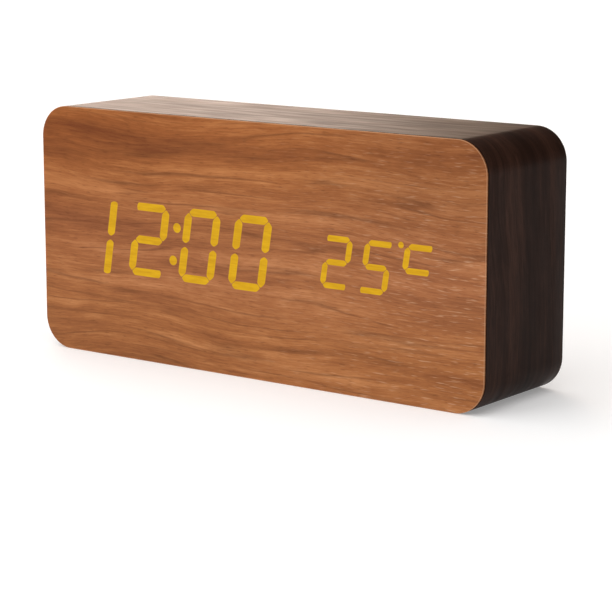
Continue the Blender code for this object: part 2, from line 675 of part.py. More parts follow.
def make_door():
    low = HINGE_Z
    high = MIDDLE_Z + DOOR_OPENING[1] / 2 - GAP
    half = DOOR_OPENING[0] / 2 - GAP
    edge = DOOR_PLATE / 2
    profile = [(DOOR_INSIDE, high)]
    for step in range(SMALL_CIRCLE_STEPS // 2 + 1):
        angle = math.pi + 2 * math.pi * step / SMALL_CIRCLE_STEPS
        profile.append((HINGE_Y + edge * math.cos(angle), HINGE_Z + edge * math.sin(angle)))
    profile.append((DOOR_FACE, high))
    door = side_slab("battery_door", [profile], BAY_X - half, BAY_X + half, "black_plastic")
    origin_at(door, (BAY_X, HINGE_Y, HINGE_Z))
    reach = half + HINGE_PIN_LENGTH
    pins = turned(
        "door_pins", rod(HINGE_PIN_RADIUS, -reach, reach), (BAY_X, HINGE_Y, HINGE_Z), axis="X", steps=SCREW_STEPS
    )
    tongue = rectangle(LATCH_WIDTH, 2 * LATCH_LENGTH, (BAY_X, high))
    ribs = [
        rectangle(RIB_SIZE[0], RIB_SIZE[1], (BAY_X, high - 4 * MM - i * RIB_PITCH)) for i in range(RIB_COUNT)
    ]
    join(
        door,
        pins,
        slab("door_tongue", [tongue], DOOR_INSIDE + LATCH_THINNER, DOOR_FACE - LATCH_THINNER),
        slab("door_ribs", ribs, DOOR_FACE - RIB_SIZE[2], DOOR_FACE + RIB_SIZE[2]),
    )
    return door


# ---------------------------------------------------------------- batteries and their contacts

BAY_LEFT_WALL = BAY_X - BAY_SIZE[0] / 2
BAY_RIGHT_WALL = BAY_X + BAY_SIZE[0] / 2
# Where cell i lies, and the way its positive end points, from the top down
CELLS = [(MIDDLE_Z + (1 - i) * CELL_PITCH, -1 if i % 2 == 0 else 1) for i in range(3)]
PIP_RADIUS = CELL_NUB[0] * 0.8


def tab_outlines():
    """Where the two end contacts' solder tabs pass through the floor of the bay, as (x, z) rectangles."""
    left = BAY_LEFT_WALL + CONTACT_GAP + CONTACT_PLATE / 2
    right = BAY_RIGHT_WALL - CONTACT_GAP - CONTACT_PLATE / 2
    return [
        rectangle(CONTACT_PLATE, TAB_WIDTH, (left, CELLS[0][0])),
        rectangle(CONTACT_PLATE, TAB_WIDTH, (right, CELLS[2][0])),
    ]


def grown(outline, by):
    """A rectangle's outline, larger by that much on every side."""
    x, z = middle_of(outline)
    return [(px + math.copysign(by, px - x), pz + math.copysign(by, pz - z)) for px, pz in outline]


def contact(name, side, cells, tab=None):
    """A plate against an end wall of the bay, over the cells given, with a pip for each positive end that it meets."""
    wall = BAY_LEFT_WALL if side < 0 else BAY_RIGHT_WALL
    near, far = wall - side * CONTACT_GAP, wall - side * PLATE_REACH
    heights = [CELLS[i][0] for i in cells]
    low, high = min(heights) - CONTACT_SIZE / 2, max(heights) + CONTACT_SIZE / 2
    plate = box(
        name,
        (min(near, far), CELL_Y - CONTACT_SIZE / 2, low),
        (max(near, far), CELL_Y + CONTACT_SIZE / 2, high),
        "nickel",
    )
    for i in cells:
        height, positive_side = CELLS[i]
        if positive_side == side:
            pip = turned(
                f"{name}_pip",
                rod(PIP_RADIUS, -CONTACT_PLATE, CONTACT_PIP),
                (far, CELL_Y, height),
                axis="X" if side < 0 else "-X",
                steps=SCREW_STEPS,
            )
            join(plate, pip)
    if tab is not None:
        bottom = BAY_BACK - BAY_WALL
        join(plate, slab(name + "_tab", [tab], bottom, CELL_Y))
    return plate


def make_batteries():
    nub_radius, nub = CELL_NUB
    shoulder = CELL_RADIUS * 0.12
    body_top = CELL_LENGTH - nub
    profile = [
        (0, CELL_LENGTH),
        (nub_radius, CELL_LENGTH),
        (nub_radius, body_top),
        (CELL_RADIUS - shoulder, body_top),
        (CELL_RADIUS, body_top - shoulder),
        (CELL_RADIUS, shoulder),
        (CELL_RADIUS - shoulder, 0),
        (0, 0),
    ]
    spring_start = PLATE_REACH + GAP + SPRING_WIRE
    spring_end = NEGATIVE_REACH - GAP - SPRING_WIRE
    for number, (height, side) in enumerate(CELLS, 1):
        wall = BAY_LEFT_WALL if side < 0 else BAY_RIGHT_WALL
        foot = wall - side * (POSITIVE_REACH + CELL_LENGTH)
        turned(
            f"battery_cell_{number}", profile, (foot, CELL_Y, height), "cell_jacket", axis="X" if side > 0 else "-X"
        )
        other = BAY_RIGHT_WALL if side < 0 else BAY_LEFT_WALL
        coil = []
        steps_per_turn = 8
        last = SPRING_TURNS * steps_per_turn
        for step in range(last + 1):
            share = step / last
            angle = 2 * math.pi * step / steps_per_turn
            radius = SPRING_RADII[0] + (SPRING_RADII[1] - SPRING_RADII[0]) * share
            x = other + side * (spring_start + (spring_end - spring_start) * share)
            coil.append((x, CELL_Y + radius * math.cos(angle), height + radius * math.sin(angle)))
        wire(f"contact_spring_{number}", coil, SPRING_WIRE, "nickel", 1)
    tabs = tab_outlines()
    contact("contact_positive", -1, (0,), tabs[0])
    contact("contact_bridge_left", -1, (1, 2))
    contact("contact_bridge_right", 1, (0, 1))
    contact("contact_negative", 1, (2,), tabs[1])


# ---------------------------------------------------------------- control board and what is on it


def make_control_board():
    outline = rounded_rectangle(*CONTROL_SIZE, CAVITY_RADIUS - GAP, (CONTROL_X, MIDDLE_Z), 3)
    holes = [circle(BOARD_SCREW[3], centre, SCREW_STEPS) for centre in CONTROL_SCREWS]
    slab("control_board", [outline, *holes], CONTROL_FRONT, CONTROL_BACK, "board_green")
    for number, centre in enumerate(CONTROL_SCREWS, 1):
        tip = CONTROL_BACK + GAP + STANDOFF * 0.7
        screw(f"control_screw_{number}", BOARD_SCREW, centre, CONTROL_FRONT - GAP, tip, True)

    foot = CONTROL_BACK + GAP
    soic("mcu_chip", on_control(MCU_OFFSET), CONTROL_FRONT - GAP, -1)
    make_jack(foot)

    x, z = on_control(BUZZER_OFFSET)
    top = STANDOFF - GAP - GAP
    lip = BUZZER_RADIUS * 0.08
    sound_hole = BUZZER_RADIUS * 0.2
    profile = [
        (0, top * 0.7),
        (sound_hole, top * 0.7),
        (sound_hole, top),
        (BUZZER_RADIUS - lip, top),
        (BUZZER_RADIUS, top - lip),
        (BUZZER_RADIUS, 0),
        (0, 0),
    ]
    turned("buzzer", profile, (x, foot, z), "epoxy")

    x, z = on_control(MIC_OFFSET)
    top = STANDOFF - GAP - GAP
    capsule = turned("microphone", rod(MIC_RADIUS, top - MIC_HEIGHT, top), (x, foot, z), "nickel", steps=SMALL_CIRCLE_STEPS)
    pins = [rectangle(0.5 * MM, 0.5 * MM, (x + side * MIC_RADIUS * 0.4, z)) for side in (-1, 1)]
    join(capsule, slab("microphone_pins", pins, foot, foot + top - MIC_HEIGHT / 2))

    x, z = on_control(THERMISTOR_OFFSET)
    bead_foot = top - 2 * THERMISTOR_RADIUS
    half = THERMISTOR_RADIUS * 0.5
    bead_profile = [
        (0, top),
        (half * 1.4, top - half * 0.6),
        (THERMISTOR_RADIUS, top - THERMISTOR_RADIUS),
        (half * 1.4, bead_foot + half * 0.6),
        (0, bead_foot),
    ]
    bead = turned("thermistor", bead_profile, (x, foot, z), "epoxy", steps=SMALL_CIRCLE_STEPS)
    leads = [rectangle(0.4 * MM, 0.4 * MM, (x + side * half, z)) for side in (-1, 1)]
    join(bead, slab("thermistor_leads", leads, foot, foot + top - THERMISTOR_RADIUS))

    make_coin_cell()


def make_jack(foot):
    """The power socket stands on the board and looks out through the cover."""
    centre = on_control(JACK_OFFSET)
    nose_end = COVER_FACE - GAP
    shoulder = COVER_INSIDE - GAP
    floor = nose_end - JACK_BORE_DEPTH
    jack = slab("dc_jack", [rectangle(JACK_SIDE, JACK_SIDE, centre)], foot, shoulder, "black_plastic")
    join(jack, slab("jack_nose", [circle(JACK_NOSE_RADIUS, centre, CIRCLE_STEPS)], shoulder - JACK_SIDE / 4, nose_end))
    cut(jack, slab("jack_bore", [circle(JACK_BORE_RADIUS, centre, CIRCLE_STEPS)], floor, nose_end + JACK_SIDE / 4))
    pin = [circle(JACK_PIN_RADIUS, centre, SCREW_STEPS)]
    join(jack, slab("jack_pin", pin, floor - JACK_PIN_RADIUS, nose_end - JACK_PIN_RADIUS))


def make_coin_cell():
    """The clock's memory cell, in a round holder on the front of the control board."""
    centre = on_control(COIN_OFFSET)
    back = CONTROL_FRONT - GAP
    floor = back - HOLDER_BASE
    inner = COIN_RADIUS + GAP
    outer = inner + HOLDER_WALL
    coin_front = floor - GAP - COIN_THICKNESS
    holder = slab("coin_cell_holder", [circle(outer, centre, CIRCLE_STEPS)], coin_front, back, "black_plastic")
    mouth = coin_front - HOLDER_BASE
    finger = rectangle(inner, 2 * outer, (centre[0], centre[1] + outer))
    cut(
        holder,
        slab("coin_recess", [circle(inner, centre, CIRCLE_STEPS)], mouth, floor),
        slab("coin_finger_gap", [finger], mouth, floor),
    )
    rim = COIN_THICKNESS * 0.15
    profile = [
        (0, COIN_THICKNESS),
        (COIN_RADIUS - rim, COIN_THICKNESS),
        (COIN_RADIUS, COIN_THICKNESS - rim),
        (COIN_RADIUS, rim),
        (COIN_RADIUS - rim, 0),
        (0, 0),
    ]
    turned("coin_cell", profile, (centre[0], coin_front, centre[1]), "steel")


def make_buttons():
    foot = CONTROL_BACK + GAP
    plunger_top = SWITCH_TOP + PLUNGER_HEIGHT
    flange_radius, flange = BUTTON_FLANGE
    flange_back = COVER_INSIDE - GAP
    stem_tip = plunger_top + PLUNGER_GAP
    edge = BUTTON_PROUD / 2
    for label, centre in zip(BUTTON_NAMES, BUTTON_CENTRES):
        x, z = centre
        body = slab(
            f"switch_body_{label}", [rectangle(SWITCH_SIDE, SWITCH_SIDE, centre)], foot, SWITCH_TOP, "chip_black"
        )
        well = PLUNGER_SUNK + 2 * GAP
        bore = slab(
            f"switch_bore_{label}",
            [circle(PLUNGER_RADIUS + GAP, centre)],
            SWITCH_TOP - well,
            SWITCH_TOP + SWITCH_BODY,
        )
        cut(body, bore)
        chamfer = PLUNGER_RADIUS * 0.15
        sunk = PLUNGER_HEIGHT + PLUNGER_SUNK
        profile = [(0, 0), (PLUNGER_RADIUS - chamfer, 0), (PLUNGER_RADIUS, -chamfer), (PLUNGER_RADIUS, -sunk), (0, -sunk)]
        turned(f"switch_plunger_{label}", profile, (x, plunger_top, z), "white_plastic", steps=SMALL_CIRCLE_STEPS)
        top = COVER_FACE + BUTTON_PROUD
        heights = [
            (0, top),
            (BUTTON_RADIUS - edge, top),
            (BUTTON_RADIUS, top - edge),
            (BUTTON_RADIUS, flange_back),
            (flange_radius, flange_back),
            (flange_radius, flange_back - flange),
            (PLUNGER_RADIUS, flange_back - flange),
            (PLUNGER_RADIUS, stem_tip),
            (0, stem_tip),
        ]
        profile = [(radius, height - COVER_FACE) for radius, height in heights]
        turned(f"button_{label}", profile, (x, COVER_FACE, z), "black_plastic")


# ---------------------------------------------------------------- cables


def smooth_path(points, count):
    """count points along a Catmull-Rom curve through the points."""
    knots = [Vector(p) for p in points]
    knots = [2 * knots[0] - knots[1], *knots, 2 * knots[-1] - knots[-2]]
    spans = len(points) - 1
    path = []
    for i in range(count):
        t = i / (count - 1) * spans
        span = min(int(t), spans - 1)
        u = t - span
        p0, p1, p2, p3 = knots[span : span + 4]
        path.append(
            0.5 * (2 * p1 + (p2 - p0) * u + (2 * p0 - 5 * p1 + 4 * p2 - p3) * u**2 + (3 * p1 - p0 - 3 * p2 + p3) * u**3)
        )
    return path


def make_cables():
    end_x, end_z = on_control(RIBBON_OFFSET)
    start_x = end_x - RIBBON_OFFSET_X
    width, height, depth = HEADER_SIZE
    front_foot = DISPLAY_BACK + GAP
    rear_foot = CONTROL_FRONT - GAP
    header = rectangle(width, height, (start_x, end_z))
    slab("ribbon_header_front", [header], front_foot, front_foot + depth, "white_plastic")
    header = rectangle(width, height, (end_x, end_z))
    slab("ribbon_header_rear", [header], rear_foot - depth, rear_foot, "white_plastic")

    # the ribbon's edge, seen from above: out of one header, over in an S, and into the other
    first, last = front_foot + depth + GAP, rear_foot - depth - GAP
    rise = (last - first) * 0.3
    path = smooth_path(
        [
            Vector((start_x, first)),
            Vector((start_x, first + rise)),
            Vector((end_x, last - rise)),
            Vector((end_x, last)),
        ],
        16,
    )
    half = RIBBON_THICKNESS / 2
    left_side, right_side = [], []
    for i, point in enumerate(path):
        along = (path[min(i + 1, len(path) - 1)] - path[max(i - 1, 0)]).normalized()
        side = Vector((-along.y, along.x)) * half
        left_side.append(tuple(point + side))
        right_side.append(tuple(point - side))
    extruded(
        "ribbon_cable",
        [left_side + right_side[::-1]],
        end_z - RIBBON_WIDTH / 2,
        end_z + RIBBON_WIDTH / 2,
        Matrix.Identity(4),
        "grey_ribbon",
    )

    # battery leads: from each solder tab, along behind the bay, to the control board's edge
    tab_end = BAY_BACK - BAY_WALL
    lane = tab_end - GAP - WIRE_RADIUS
    board_edge = CONTROL_X - CONTROL_SIZE[0] / 2
    landing = board_edge + 4 * WIRE_RADIUS
    # they land on the board itself, well inside its screws, whatever the size of the bay they come from
    landing_rise = CONTROL_SIZE[1] / 4
    end = CONTROL_FRONT - GAP
    for name, material, tab in zip(
        ("battery_wire_positive", "battery_wire_negative"), ("red_wire", "black_wire"), tab_outlines()
    ):
        x, z = middle_of(tab)
        landing_z = MIDDLE_Z + math.copysign(landing_rise, z - MIDDLE_Z)
        route = [
            (x, lane, z),
            (x + (landing - x) * 0.25, lane, z),
            (x + (landing - x) * 0.75, lane, landing_z),
            (landing, (lane + CONTROL_FRONT) / 2, landing_z),
            (landing, end - 2 * WIRE_RADIUS, landing_z),
        ]
        # the last stretch runs straight at the board, so that the cut end is parallel to it
        wire(name, smooth_path(route, 20) + [(landing, end, landing_z)], WIRE_RADIUS, material, 1)


make_case()
make_display()
make_rear_cover()
make_door()
make_batteries()
make_control_board()
make_buttons()
make_cables()
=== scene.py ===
"""How the wood-cased LED alarm clock looks.

The veneer, sleeve, buttons, cover screws, dry cells and contact springs are built again in finer meshes, and
printed marks are added over the buttons. The rest of the CAD pieces keep their shape and get a material and
softened edges. Sizes are in metres, written as millimetres times MM, in the CAD model's own frame: +Z up,
the display facing -Y.
"""

import json
import math

import bmesh
import bpy
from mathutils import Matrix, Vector


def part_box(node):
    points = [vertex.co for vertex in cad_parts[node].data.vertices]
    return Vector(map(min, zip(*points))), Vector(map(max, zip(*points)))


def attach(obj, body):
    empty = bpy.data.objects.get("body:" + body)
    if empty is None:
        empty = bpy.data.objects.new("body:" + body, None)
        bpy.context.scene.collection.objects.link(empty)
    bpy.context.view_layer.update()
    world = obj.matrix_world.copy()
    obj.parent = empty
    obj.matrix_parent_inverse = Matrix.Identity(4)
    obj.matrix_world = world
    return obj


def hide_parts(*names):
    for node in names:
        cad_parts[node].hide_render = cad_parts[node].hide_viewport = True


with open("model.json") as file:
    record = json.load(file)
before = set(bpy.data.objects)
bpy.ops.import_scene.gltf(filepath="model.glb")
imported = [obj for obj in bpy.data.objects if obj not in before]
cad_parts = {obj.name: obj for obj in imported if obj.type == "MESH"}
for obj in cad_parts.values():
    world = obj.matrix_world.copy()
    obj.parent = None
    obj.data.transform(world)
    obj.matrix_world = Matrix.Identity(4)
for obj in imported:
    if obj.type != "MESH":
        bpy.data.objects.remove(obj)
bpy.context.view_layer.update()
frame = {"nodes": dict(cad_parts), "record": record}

MM = 0.001
GAP = 0.3 * MM  # the CAD's clearance between neighbours
COVER_PLATE = 2.4 * MM
CELL_RADIUS = 5.25 * MM
BUTTONS = ("set", "up", "down")

# ---------------------------------------------------------------- shader helpers


def srgb(red, green, blue):
    """A colour given as it looks on screen, 0 to 255, as the linear values that nodes take."""
    shares = (value / 255 for value in (red, green, blue))
    return tuple(c / 12.92 if c <= 0.04045 else ((c + 0.055) / 1.055) ** 2.4 for c in shares)


class Nodes:
    """A node tree that is put together by function calls."""

    def __init__(self, tree):
        self.tree = tree

    def node(self, kind, *values, output=0, **settings):
        """Adds a node. Values go to its sockets in order: None leaves one alone, and a socket is linked."""
        node = self.tree.nodes.new("ShaderNode" + kind)
        for key, value in settings.items():
            setattr(node, key, value)
        for socket, value in zip(node.inputs, values):
            if isinstance(value, bpy.types.NodeSocket):
                self.tree.links.new(value, socket)
            elif value is not None:
                socket.default_value = value
        return node.outputs[output]

    def math(self, operation, *values):
        return self.node("Math", *values, operation=operation)

    def scaled(self, vector, *factors):
        """The vector with each coordinate multiplied."""
        return self.node("VectorMath", vector, Vector(factors), operation="MULTIPLY")

    def separate(self, vector):
        """The vector's three coordinates."""
        node = self.tree.nodes.new("ShaderNodeSeparateXYZ")
        self.tree.links.new(vector, node.inputs[0])
        return node.outputs

    def noise(self, vector, scale=1.0, detail=2.0, roughness=0.5):
        node = self.tree.nodes.new("ShaderNodeTexNoise")
        self.tree.links.new(vector, node.inputs["Vector"])
        node.inputs["Scale"].default_value = scale
        node.inputs["Detail"].default_value = detail
        node.inputs["Roughness"].default_value = roughness
        return node.outputs[0]

    def ramp(self, value, *stops):
        """A colour ramp. Each stop is (place, colour)."""
        node = self.tree.nodes.new("ShaderNodeValToRGB")
        self.tree.links.new(value, node.inputs[0])
        ramp = node.color_ramp
        while len(ramp.elements) < len(stops):
            ramp.elements.new(0.5)
        for element, (place, colour) in zip(ramp.elements, stops):
            element.position = place
            element.color = (*colour, 1)
        return node.outputs[0]

    def rescale(self, value, low, high, to_low=0.0, to_high=1.0):
        node = self.tree.nodes.new("ShaderNodeMapRange")
        for socket, given in zip(node.inputs, (value, low, high, to_low, to_high)):
            if isinstance(given, bpy.types.NodeSocket):
                self.tree.links.new(given, socket)
            else:
                socket.default_value = given
        return node.outputs[0]

    def mix(self, factor, first, second, blend="MIX"):
        node = self.tree.nodes.new("ShaderNodeMix")
        node.data_type = "RGBA"
        node.blend_type = blend
        for name, value in (("Factor_Float", factor), ("A_Color", first), ("B_Color", second)):
            socket = next(s for s in node.inputs if s.identifier == name)
            if isinstance(value, bpy.types.NodeSocket):
                self.tree.links.new(value, socket)
            else:
                socket.default_value = value if name == "Factor_Float" else (*value, 1)
        return next(s for s in node.outputs if s.identifier == "Result_Color")


class Shader(Nodes):
    """A Principled material whose pattern is added node by node."""

    def __init__(self, name, **sockets):
        self.material = bpy.data.materials.new(name)
        self.material.use_nodes = True
        super().__init__(self.material.node_tree)
        self.principled = self.tree.nodes["Principled BSDF"]
        for socket, value in sockets.items():
            self.set(socket.replace("_", " "), value)

    def set(self, socket, value):
        """Sets or links a socket of the Principled shader."""
        if isinstance(value, bpy.types.NodeSocket):
            self.tree.links.new(value, self.principled.inputs[socket])
        elif isinstance(value, tuple) and len(value) == 3:
            self.principled.inputs[socket].default_value = (*value, 1)
        else:
            self.principled.inputs[socket].default_value = value

    def bump(self, height, distance, strength=1.0):
        node = self.tree.nodes.new("ShaderNodeBump")
        node.inputs["Strength"].default_value = strength
        node.inputs["Distance"].default_value = distance
        self.tree.links.new(height, node.inputs["Height"])
        self.tree.links.new(node.outputs[0], self.principled.inputs["Normal"])

    def millimetres(self):
        """The surface's place in the row frame, in millimetres."""
        return self.scaled(self.node("TexCoord", output=3), 1 / MM, 1 / MM, 1 / MM)


# ---------------------------------------------------------------- materials


def wood(shader, grain, palette, shift=0.0):
    """Colour and height of a sliced veneer. grain holds millimetres along it in X and across it in Y."""
    deep, dark, middle, light = palette
    grain_along, grain_across, _ = shader.separate(grain)
    drift = shader.noise(shader.scaled(grain, 0.011, 0.020, 1), detail=1)
    wander = shader.noise(shader.scaled(grain, 0.05, 0.10, 1), detail=2)
    push = shader.math("ADD", shader.math("MULTIPLY", drift, 15.0), shader.math("MULTIPLY", wander, 1.3))
    across = shader.math("ADD", grain_across, push)
    warped = shader.node("CombineXYZ", grain_along, across, shift)

    bands = shader.noise(shader.scaled(warped, 0.0065, 0.12, 1), detail=3, roughness=0.55)
    streaks = shader.noise(shader.scaled(warped, 0.024, 0.46, 1), detail=4, roughness=0.6)
    fibres = shader.noise(shader.scaled(warped, 0.13, 2.1, 1), detail=4, roughness=0.68)
    shimmer = shader.noise(shader.scaled(warped, 0.10, 0.35, 1), detail=2)
    veins = shader.noise(shader.scaled(warped, 0.010, 0.19, 1), detail=1)
    dashes = shader.noise(shader.scaled(warped, 0.34, 3.4, 1), detail=1)

    tone = shader.math("ADD", shader.math("MULTIPLY", bands, 0.66), shader.math("MULTIPLY", streaks, 0.36))
    tone = shader.math("ADD", tone, shader.math("MULTIPLY", fibres, 0.44))
    tone = shader.math("ADD", tone, shader.math("MULTIPLY", shimmer, 0.16))
    tone = shader.rescale(tone, 0.60, 1.02)
    colour = shader.ramp(tone, (0.0, dark), (0.5, middle), (1.0, light))
    vein = shader.math("ABSOLUTE", shader.math("SUBTRACT", veins, 0.47))
    vein = shader.rescale(vein, 0.0, 0.042, 0.50, 0.0)
    vein = shader.math("MULTIPLY", vein, shader.rescale(streaks, 0.42, 0.58))
    colour = shader.mix(vein, colour, deep)
    pore = shader.rescale(dashes, 0.60, 0.74, 0.0, 0.38)
    colour = shader.mix(pore, colour, deep)
    height = shader.math("SUBTRACT", fibres, shader.math("MULTIPLY", pore, 0.8))
    return colour, height


def face_veneer():
    shader = Shader("walnut_veneer", Roughness=0.62, Specular_IOR_Level=0.08)
    x, _, z = shader.separate(shader.millimetres())
    grain = shader.node("CombineXYZ", x, z, 3.0)
    palette = (srgb(80, 43, 25), srgb(122, 72, 42), srgb(156, 99, 58), srgb(190, 131, 84))
    colour, height = wood(shader, grain, palette)

    # the sheet is redder and greyer across its middle; towards its right end its fibres are painted paler, a
    # painted highlight on the wood's own fibre pattern
    patches = shader.noise(shader.scaled(shader.node("CombineXYZ", x, z, 9.0), 0.010, 0.035, 1), detail=1)
    from_middle = shader.math("ABSOLUTE", shader.math("SUBTRACT", z, 34.0))
    middle = shader.rescale(from_middle, 4.0, 22.0, 0.55, 0.0)
    pink = shader.math("MULTIPLY", middle, shader.rescale(patches, 0.35, 0.6, 0.5, 1.0))
    colour = shader.mix(pink, colour, (0.94, 0.93, 1.22), "MULTIPLY")
    # painted highlight: pale fibre streaks that grow stronger towards the right end
    right = shader.rescale(x, -10.0, 75.0)
    pale = shader.noise(shader.scaled(shader.node("CombineXYZ", x, z, 21.0), 0.22, 2.3, 1), detail=1)
    pale = shader.math("MULTIPLY", shader.rescale(pale, 0.60, 0.76, 0.0, 0.5), right)
    colour = shader.mix(pale, colour, srgb(212, 172, 138))

    # painted shade, darker parts towards the face's top, its left and its bottom left corner: how far each
    # reaches along and up the face, and its tint
    painted_shades = (
        (shader.rescale(x, 75.0, -40.0, 0.75, 1.0), shader.rescale(z, 38.0, 64.0), (0.86, 0.75, 0.62)),
        (shader.rescale(x, 10.0, 50.0), shader.rescale(z, 38.0, 54.0), (0.80, 0.80, 0.86)),
        (shader.rescale(x, -10.0, -75.0), shader.rescale(z, 14.0, 34.0), (0.86, 0.80, 0.72)),
        (shader.rescale(x, 10.0, -75.0), shader.rescale(z, 22.0, 0.0, 0.0, 0.34), (0.55, 0.50, 0.50)),
    )
    for along, up, tint in painted_shades:
        colour = shader.mix(shader.math("MULTIPLY", along, up), colour, tint, "MULTIPLY")

    # painted highlight: the rounded front edge is painted a paler wood colour
    painted_edge_highlight = shader.math("MULTIPLY", shader.node("Attribute", output=2, attribute_name="painted_edge_highlight"), 0.5)
    colour = shader.mix(painted_edge_highlight, colour, srgb(206, 160, 122))
    shader.set("Base Color", colour)
    shader.bump(height, 0.03 * MM, 0.5)
    return shader.material


def lit_veneer():
    """The veneer where a segment glows through it: the light hides most of the wood's own colour.

    Every glowing point carries the attribute "glow", which fades from 1 to 0 over the shape's soft edge.
    """
    shader = Shader("lit_segment", Roughness=0.62, Specular_IOR_Level=0.1)
    glow = shader.node("Attribute", output=2, attribute_name="glow")
    place = shader.millimetres()
    fibre = shader.noise(shader.scaled(place, 0.22, 1, 1.5), detail=3)
    lit = shader.ramp(fibre, (0.3, srgb(205, 151, 3)), (0.7, srgb(225, 173, 7)))
    shader.set("Base Color", shader.mix(glow, srgb(158, 100, 58), (0.03, 0.02, 0.005)))
    shader.set("Emission Color", lit)
    shader.set("Emission Strength", shader.rescale(glow, 0.0, 1.0, 0.0, 0.95))
    shader.bump(fibre, 0.03 * MM, 0.3)
    return shader.material


def sleeve_foil():
    """Dark walnut foil, and partly painted shade: its colour is made far darker than the face's veneer to
    stand for the shade on the sleeve's sides. It hardly mirrors from straight ahead and turns bright only at
    a glance.
    """
    shader = Shader("dark_foil_with_painted_shade", Roughness=0.38, Specular_IOR_Level=0.025)
    shader.set("Specular Tint", (1.0, 0.80, 0.70))
    grain = shader.scaled(shader.node("UVMap", uv_map="grain"), 1 / MM, 1 / MM, 0)
    # partly painted shade: a far darker palette than the face's veneer, for the shaded sides of the sleeve
    palette = (srgb(14, 8, 6), srgb(26, 15, 11), srgb(42, 26, 20), srgb(64, 42, 33))
    colour, height = wood(shader, grain, palette, 40.0)
    shader.set("Base Color", colour)
    wear = shader.noise(shader.scaled(grain, 0.05, 0.4, 1), detail=3)
    shader.set("Roughness", shader.rescale(wear, 0.3, 0.7, 0.32, 0.44))
    shader.bump(height, 0.02 * MM, 0.4)
    return shader.material


def fibreboard(name="fibreboard", dark=srgb(112, 84, 58), light=srgb(156, 124, 92)):
    shader = Shader(name, Roughness=0.85, Specular_IOR_Level=0.2)
    place = shader.millimetres()
    fluff = shader.noise(shader.scaled(place, 1.4, 1.4, 1.4), detail=5, roughness=0.7)
    specks = shader.noise(shader.scaled(place, 7, 7, 7), detail=2)
    mixed = shader.math("ADD", shader.math("MULTIPLY", fluff, 0.7), shader.math("MULTIPLY", specks, 0.3))
    shader.set("Base Color", shader.ramp(mixed, (0.35, dark), (0.65, light)))
    shader.bump(mixed, 0.12 * MM, 0.7)
    return shader.material


def moulded(name, colour, roughness=0.5, texture=0.5, grain_mm=0.35, lift=1.6):
    """Moulded plastic: a spark-eroded grain in the bump, roughness and, faintly, the colour."""
    shader = Shader(name, Specular_IOR_Level=0.45)
    place = shader.millimetres()
    grain = shader.noise(shader.scaled(place, *(1 / grain_mm,) * 3), detail=2, roughness=0.55)
    patches = shader.noise(shader.scaled(place, 0.06, 0.06, 0.06), detail=3)
    lighter = tuple(min(1, c * lift + 0.002) for c in colour)
    shader.set("Base Color", shader.ramp(grain, (0.25, colour), (0.8, lighter)))
    shader.set("Roughness", shader.rescale(patches, 0.3, 0.7, roughness - 0.06, roughness + 0.06))
    shader.bump(grain, 0.05 * MM, texture)
    return shader.material


def metal(name, colour, roughness):
    shader = Shader(name, Metallic=1.0)
    place = shader.millimetres()
    cloud = shader.noise(shader.scaled(place, 2, 2, 2), detail=3)
    darker = tuple(c * 0.78 for c in colour)
    shader.set("Base Color", shader.ramp(cloud, (0.3, darker), (0.7, colour)))
    shader.set("Roughness", shader.rescale(cloud, 0.3, 0.7, roughness - 0.07, roughness + 0.1))
    shader.bump(cloud, 0.01 * MM, 0.4)
    return shader.material


def circuit_board():
    """Solder mask over copper tracks, which show as lighter lines that turn through right angles."""
    shader = Shader("solder_mask", Roughness=0.28, Specular_IOR_Level=0.5)
    place = shader.millimetres()
    node = shader.tree.nodes.new("ShaderNodeTexBrick")
    upright = Vector((math.pi / 2, 0, 0))
    turned = shader.node("VectorRotate", place, None, None, None, upright, rotation_type="EULER_XYZ")
    shader.tree.links.new(turned, node.inputs["Vector"])
    for socket, value in (("Scale", 0.16), ("Mortar Size", 0.035), ("Mortar Smooth", 0.1)):
        node.inputs[socket].default_value = value
    cloud = shader.noise(shader.scaled(place, 0.2, 0.2, 0.2), detail=3)
    mask = shader.ramp(cloud, (0.3, srgb(14, 74, 38)), (0.7, srgb(20, 92, 48)))
    colour = shader.mix(node.outputs[1], mask, srgb(44, 128, 72))
    shader.set("Base Color", colour)
    shader.bump(node.outputs[1], 0.035 * MM, 0.5)
    return shader.material


def milky():
    shader = Shader("milky_guide", Roughness=0.3, Subsurface_Weight=0.3, Subsurface_Scale=2 * MM)
    place = shader.millimetres()
    cloud = shader.noise(shader.scaled(place, 0.3, 0.3, 0.3), detail=3)
    shader.set("Base Color", shader.ramp(cloud, (0.3, srgb(222, 218, 206)), (0.7, srgb(236, 234, 226))))
    shader.bump(cloud, 0.02 * MM, 0.3)
    return shader.material


def cell_jacket():
    """A dry cell's printed film: a dark body, a copper-coloured band towards the positive end, bare ends.

    The attribute "along" is the distance from the negative end, in millimetres.
    """
    film_start, band_start, film_end = 0.6, 31.5, 42.6
    half_line = 0.35
    shader = Shader("cell_jacket", Roughness=0.26, Specular_IOR_Level=0.5)
    along = shader.node("Attribute", output=2, attribute_name="along")
    place = shader.millimetres()
    ink = shader.noise(shader.scaled(place, 0.5, 0.5, 0.5), detail=3)
    body = shader.ramp(ink, (0.3, srgb(22, 30, 40)), (0.7, srgb(32, 42, 54)))
    band = shader.ramp(ink, (0.3, srgb(176, 108, 52)), (0.7, srgb(198, 128, 66)))
    steel = shader.ramp(ink, (0.3, srgb(176, 176, 178)), (0.7, srgb(206, 206, 208)))
    colour = shader.mix(shader.math("GREATER_THAN", along, band_start), body, band)
    from_line = shader.math("ABSOLUTE", shader.math("SUBTRACT", along, band_start))
    line = shader.math("LESS_THAN", from_line, half_line)
    colour = shader.mix(line, colour, srgb(214, 212, 206))
    past_film = shader.math("GREATER_THAN", along, film_end)
    bare = shader.math("MAXIMUM", past_film, shader.math("LESS_THAN", along, film_start))
    shader.set("Base Color", shader.mix(bare, colour, steel))
    shader.set("Metallic", shader.rescale(bare, 0, 1, 0.25, 1.0))
    shader.bump(ink, 0.02 * MM, 0.3)
    return shader.material


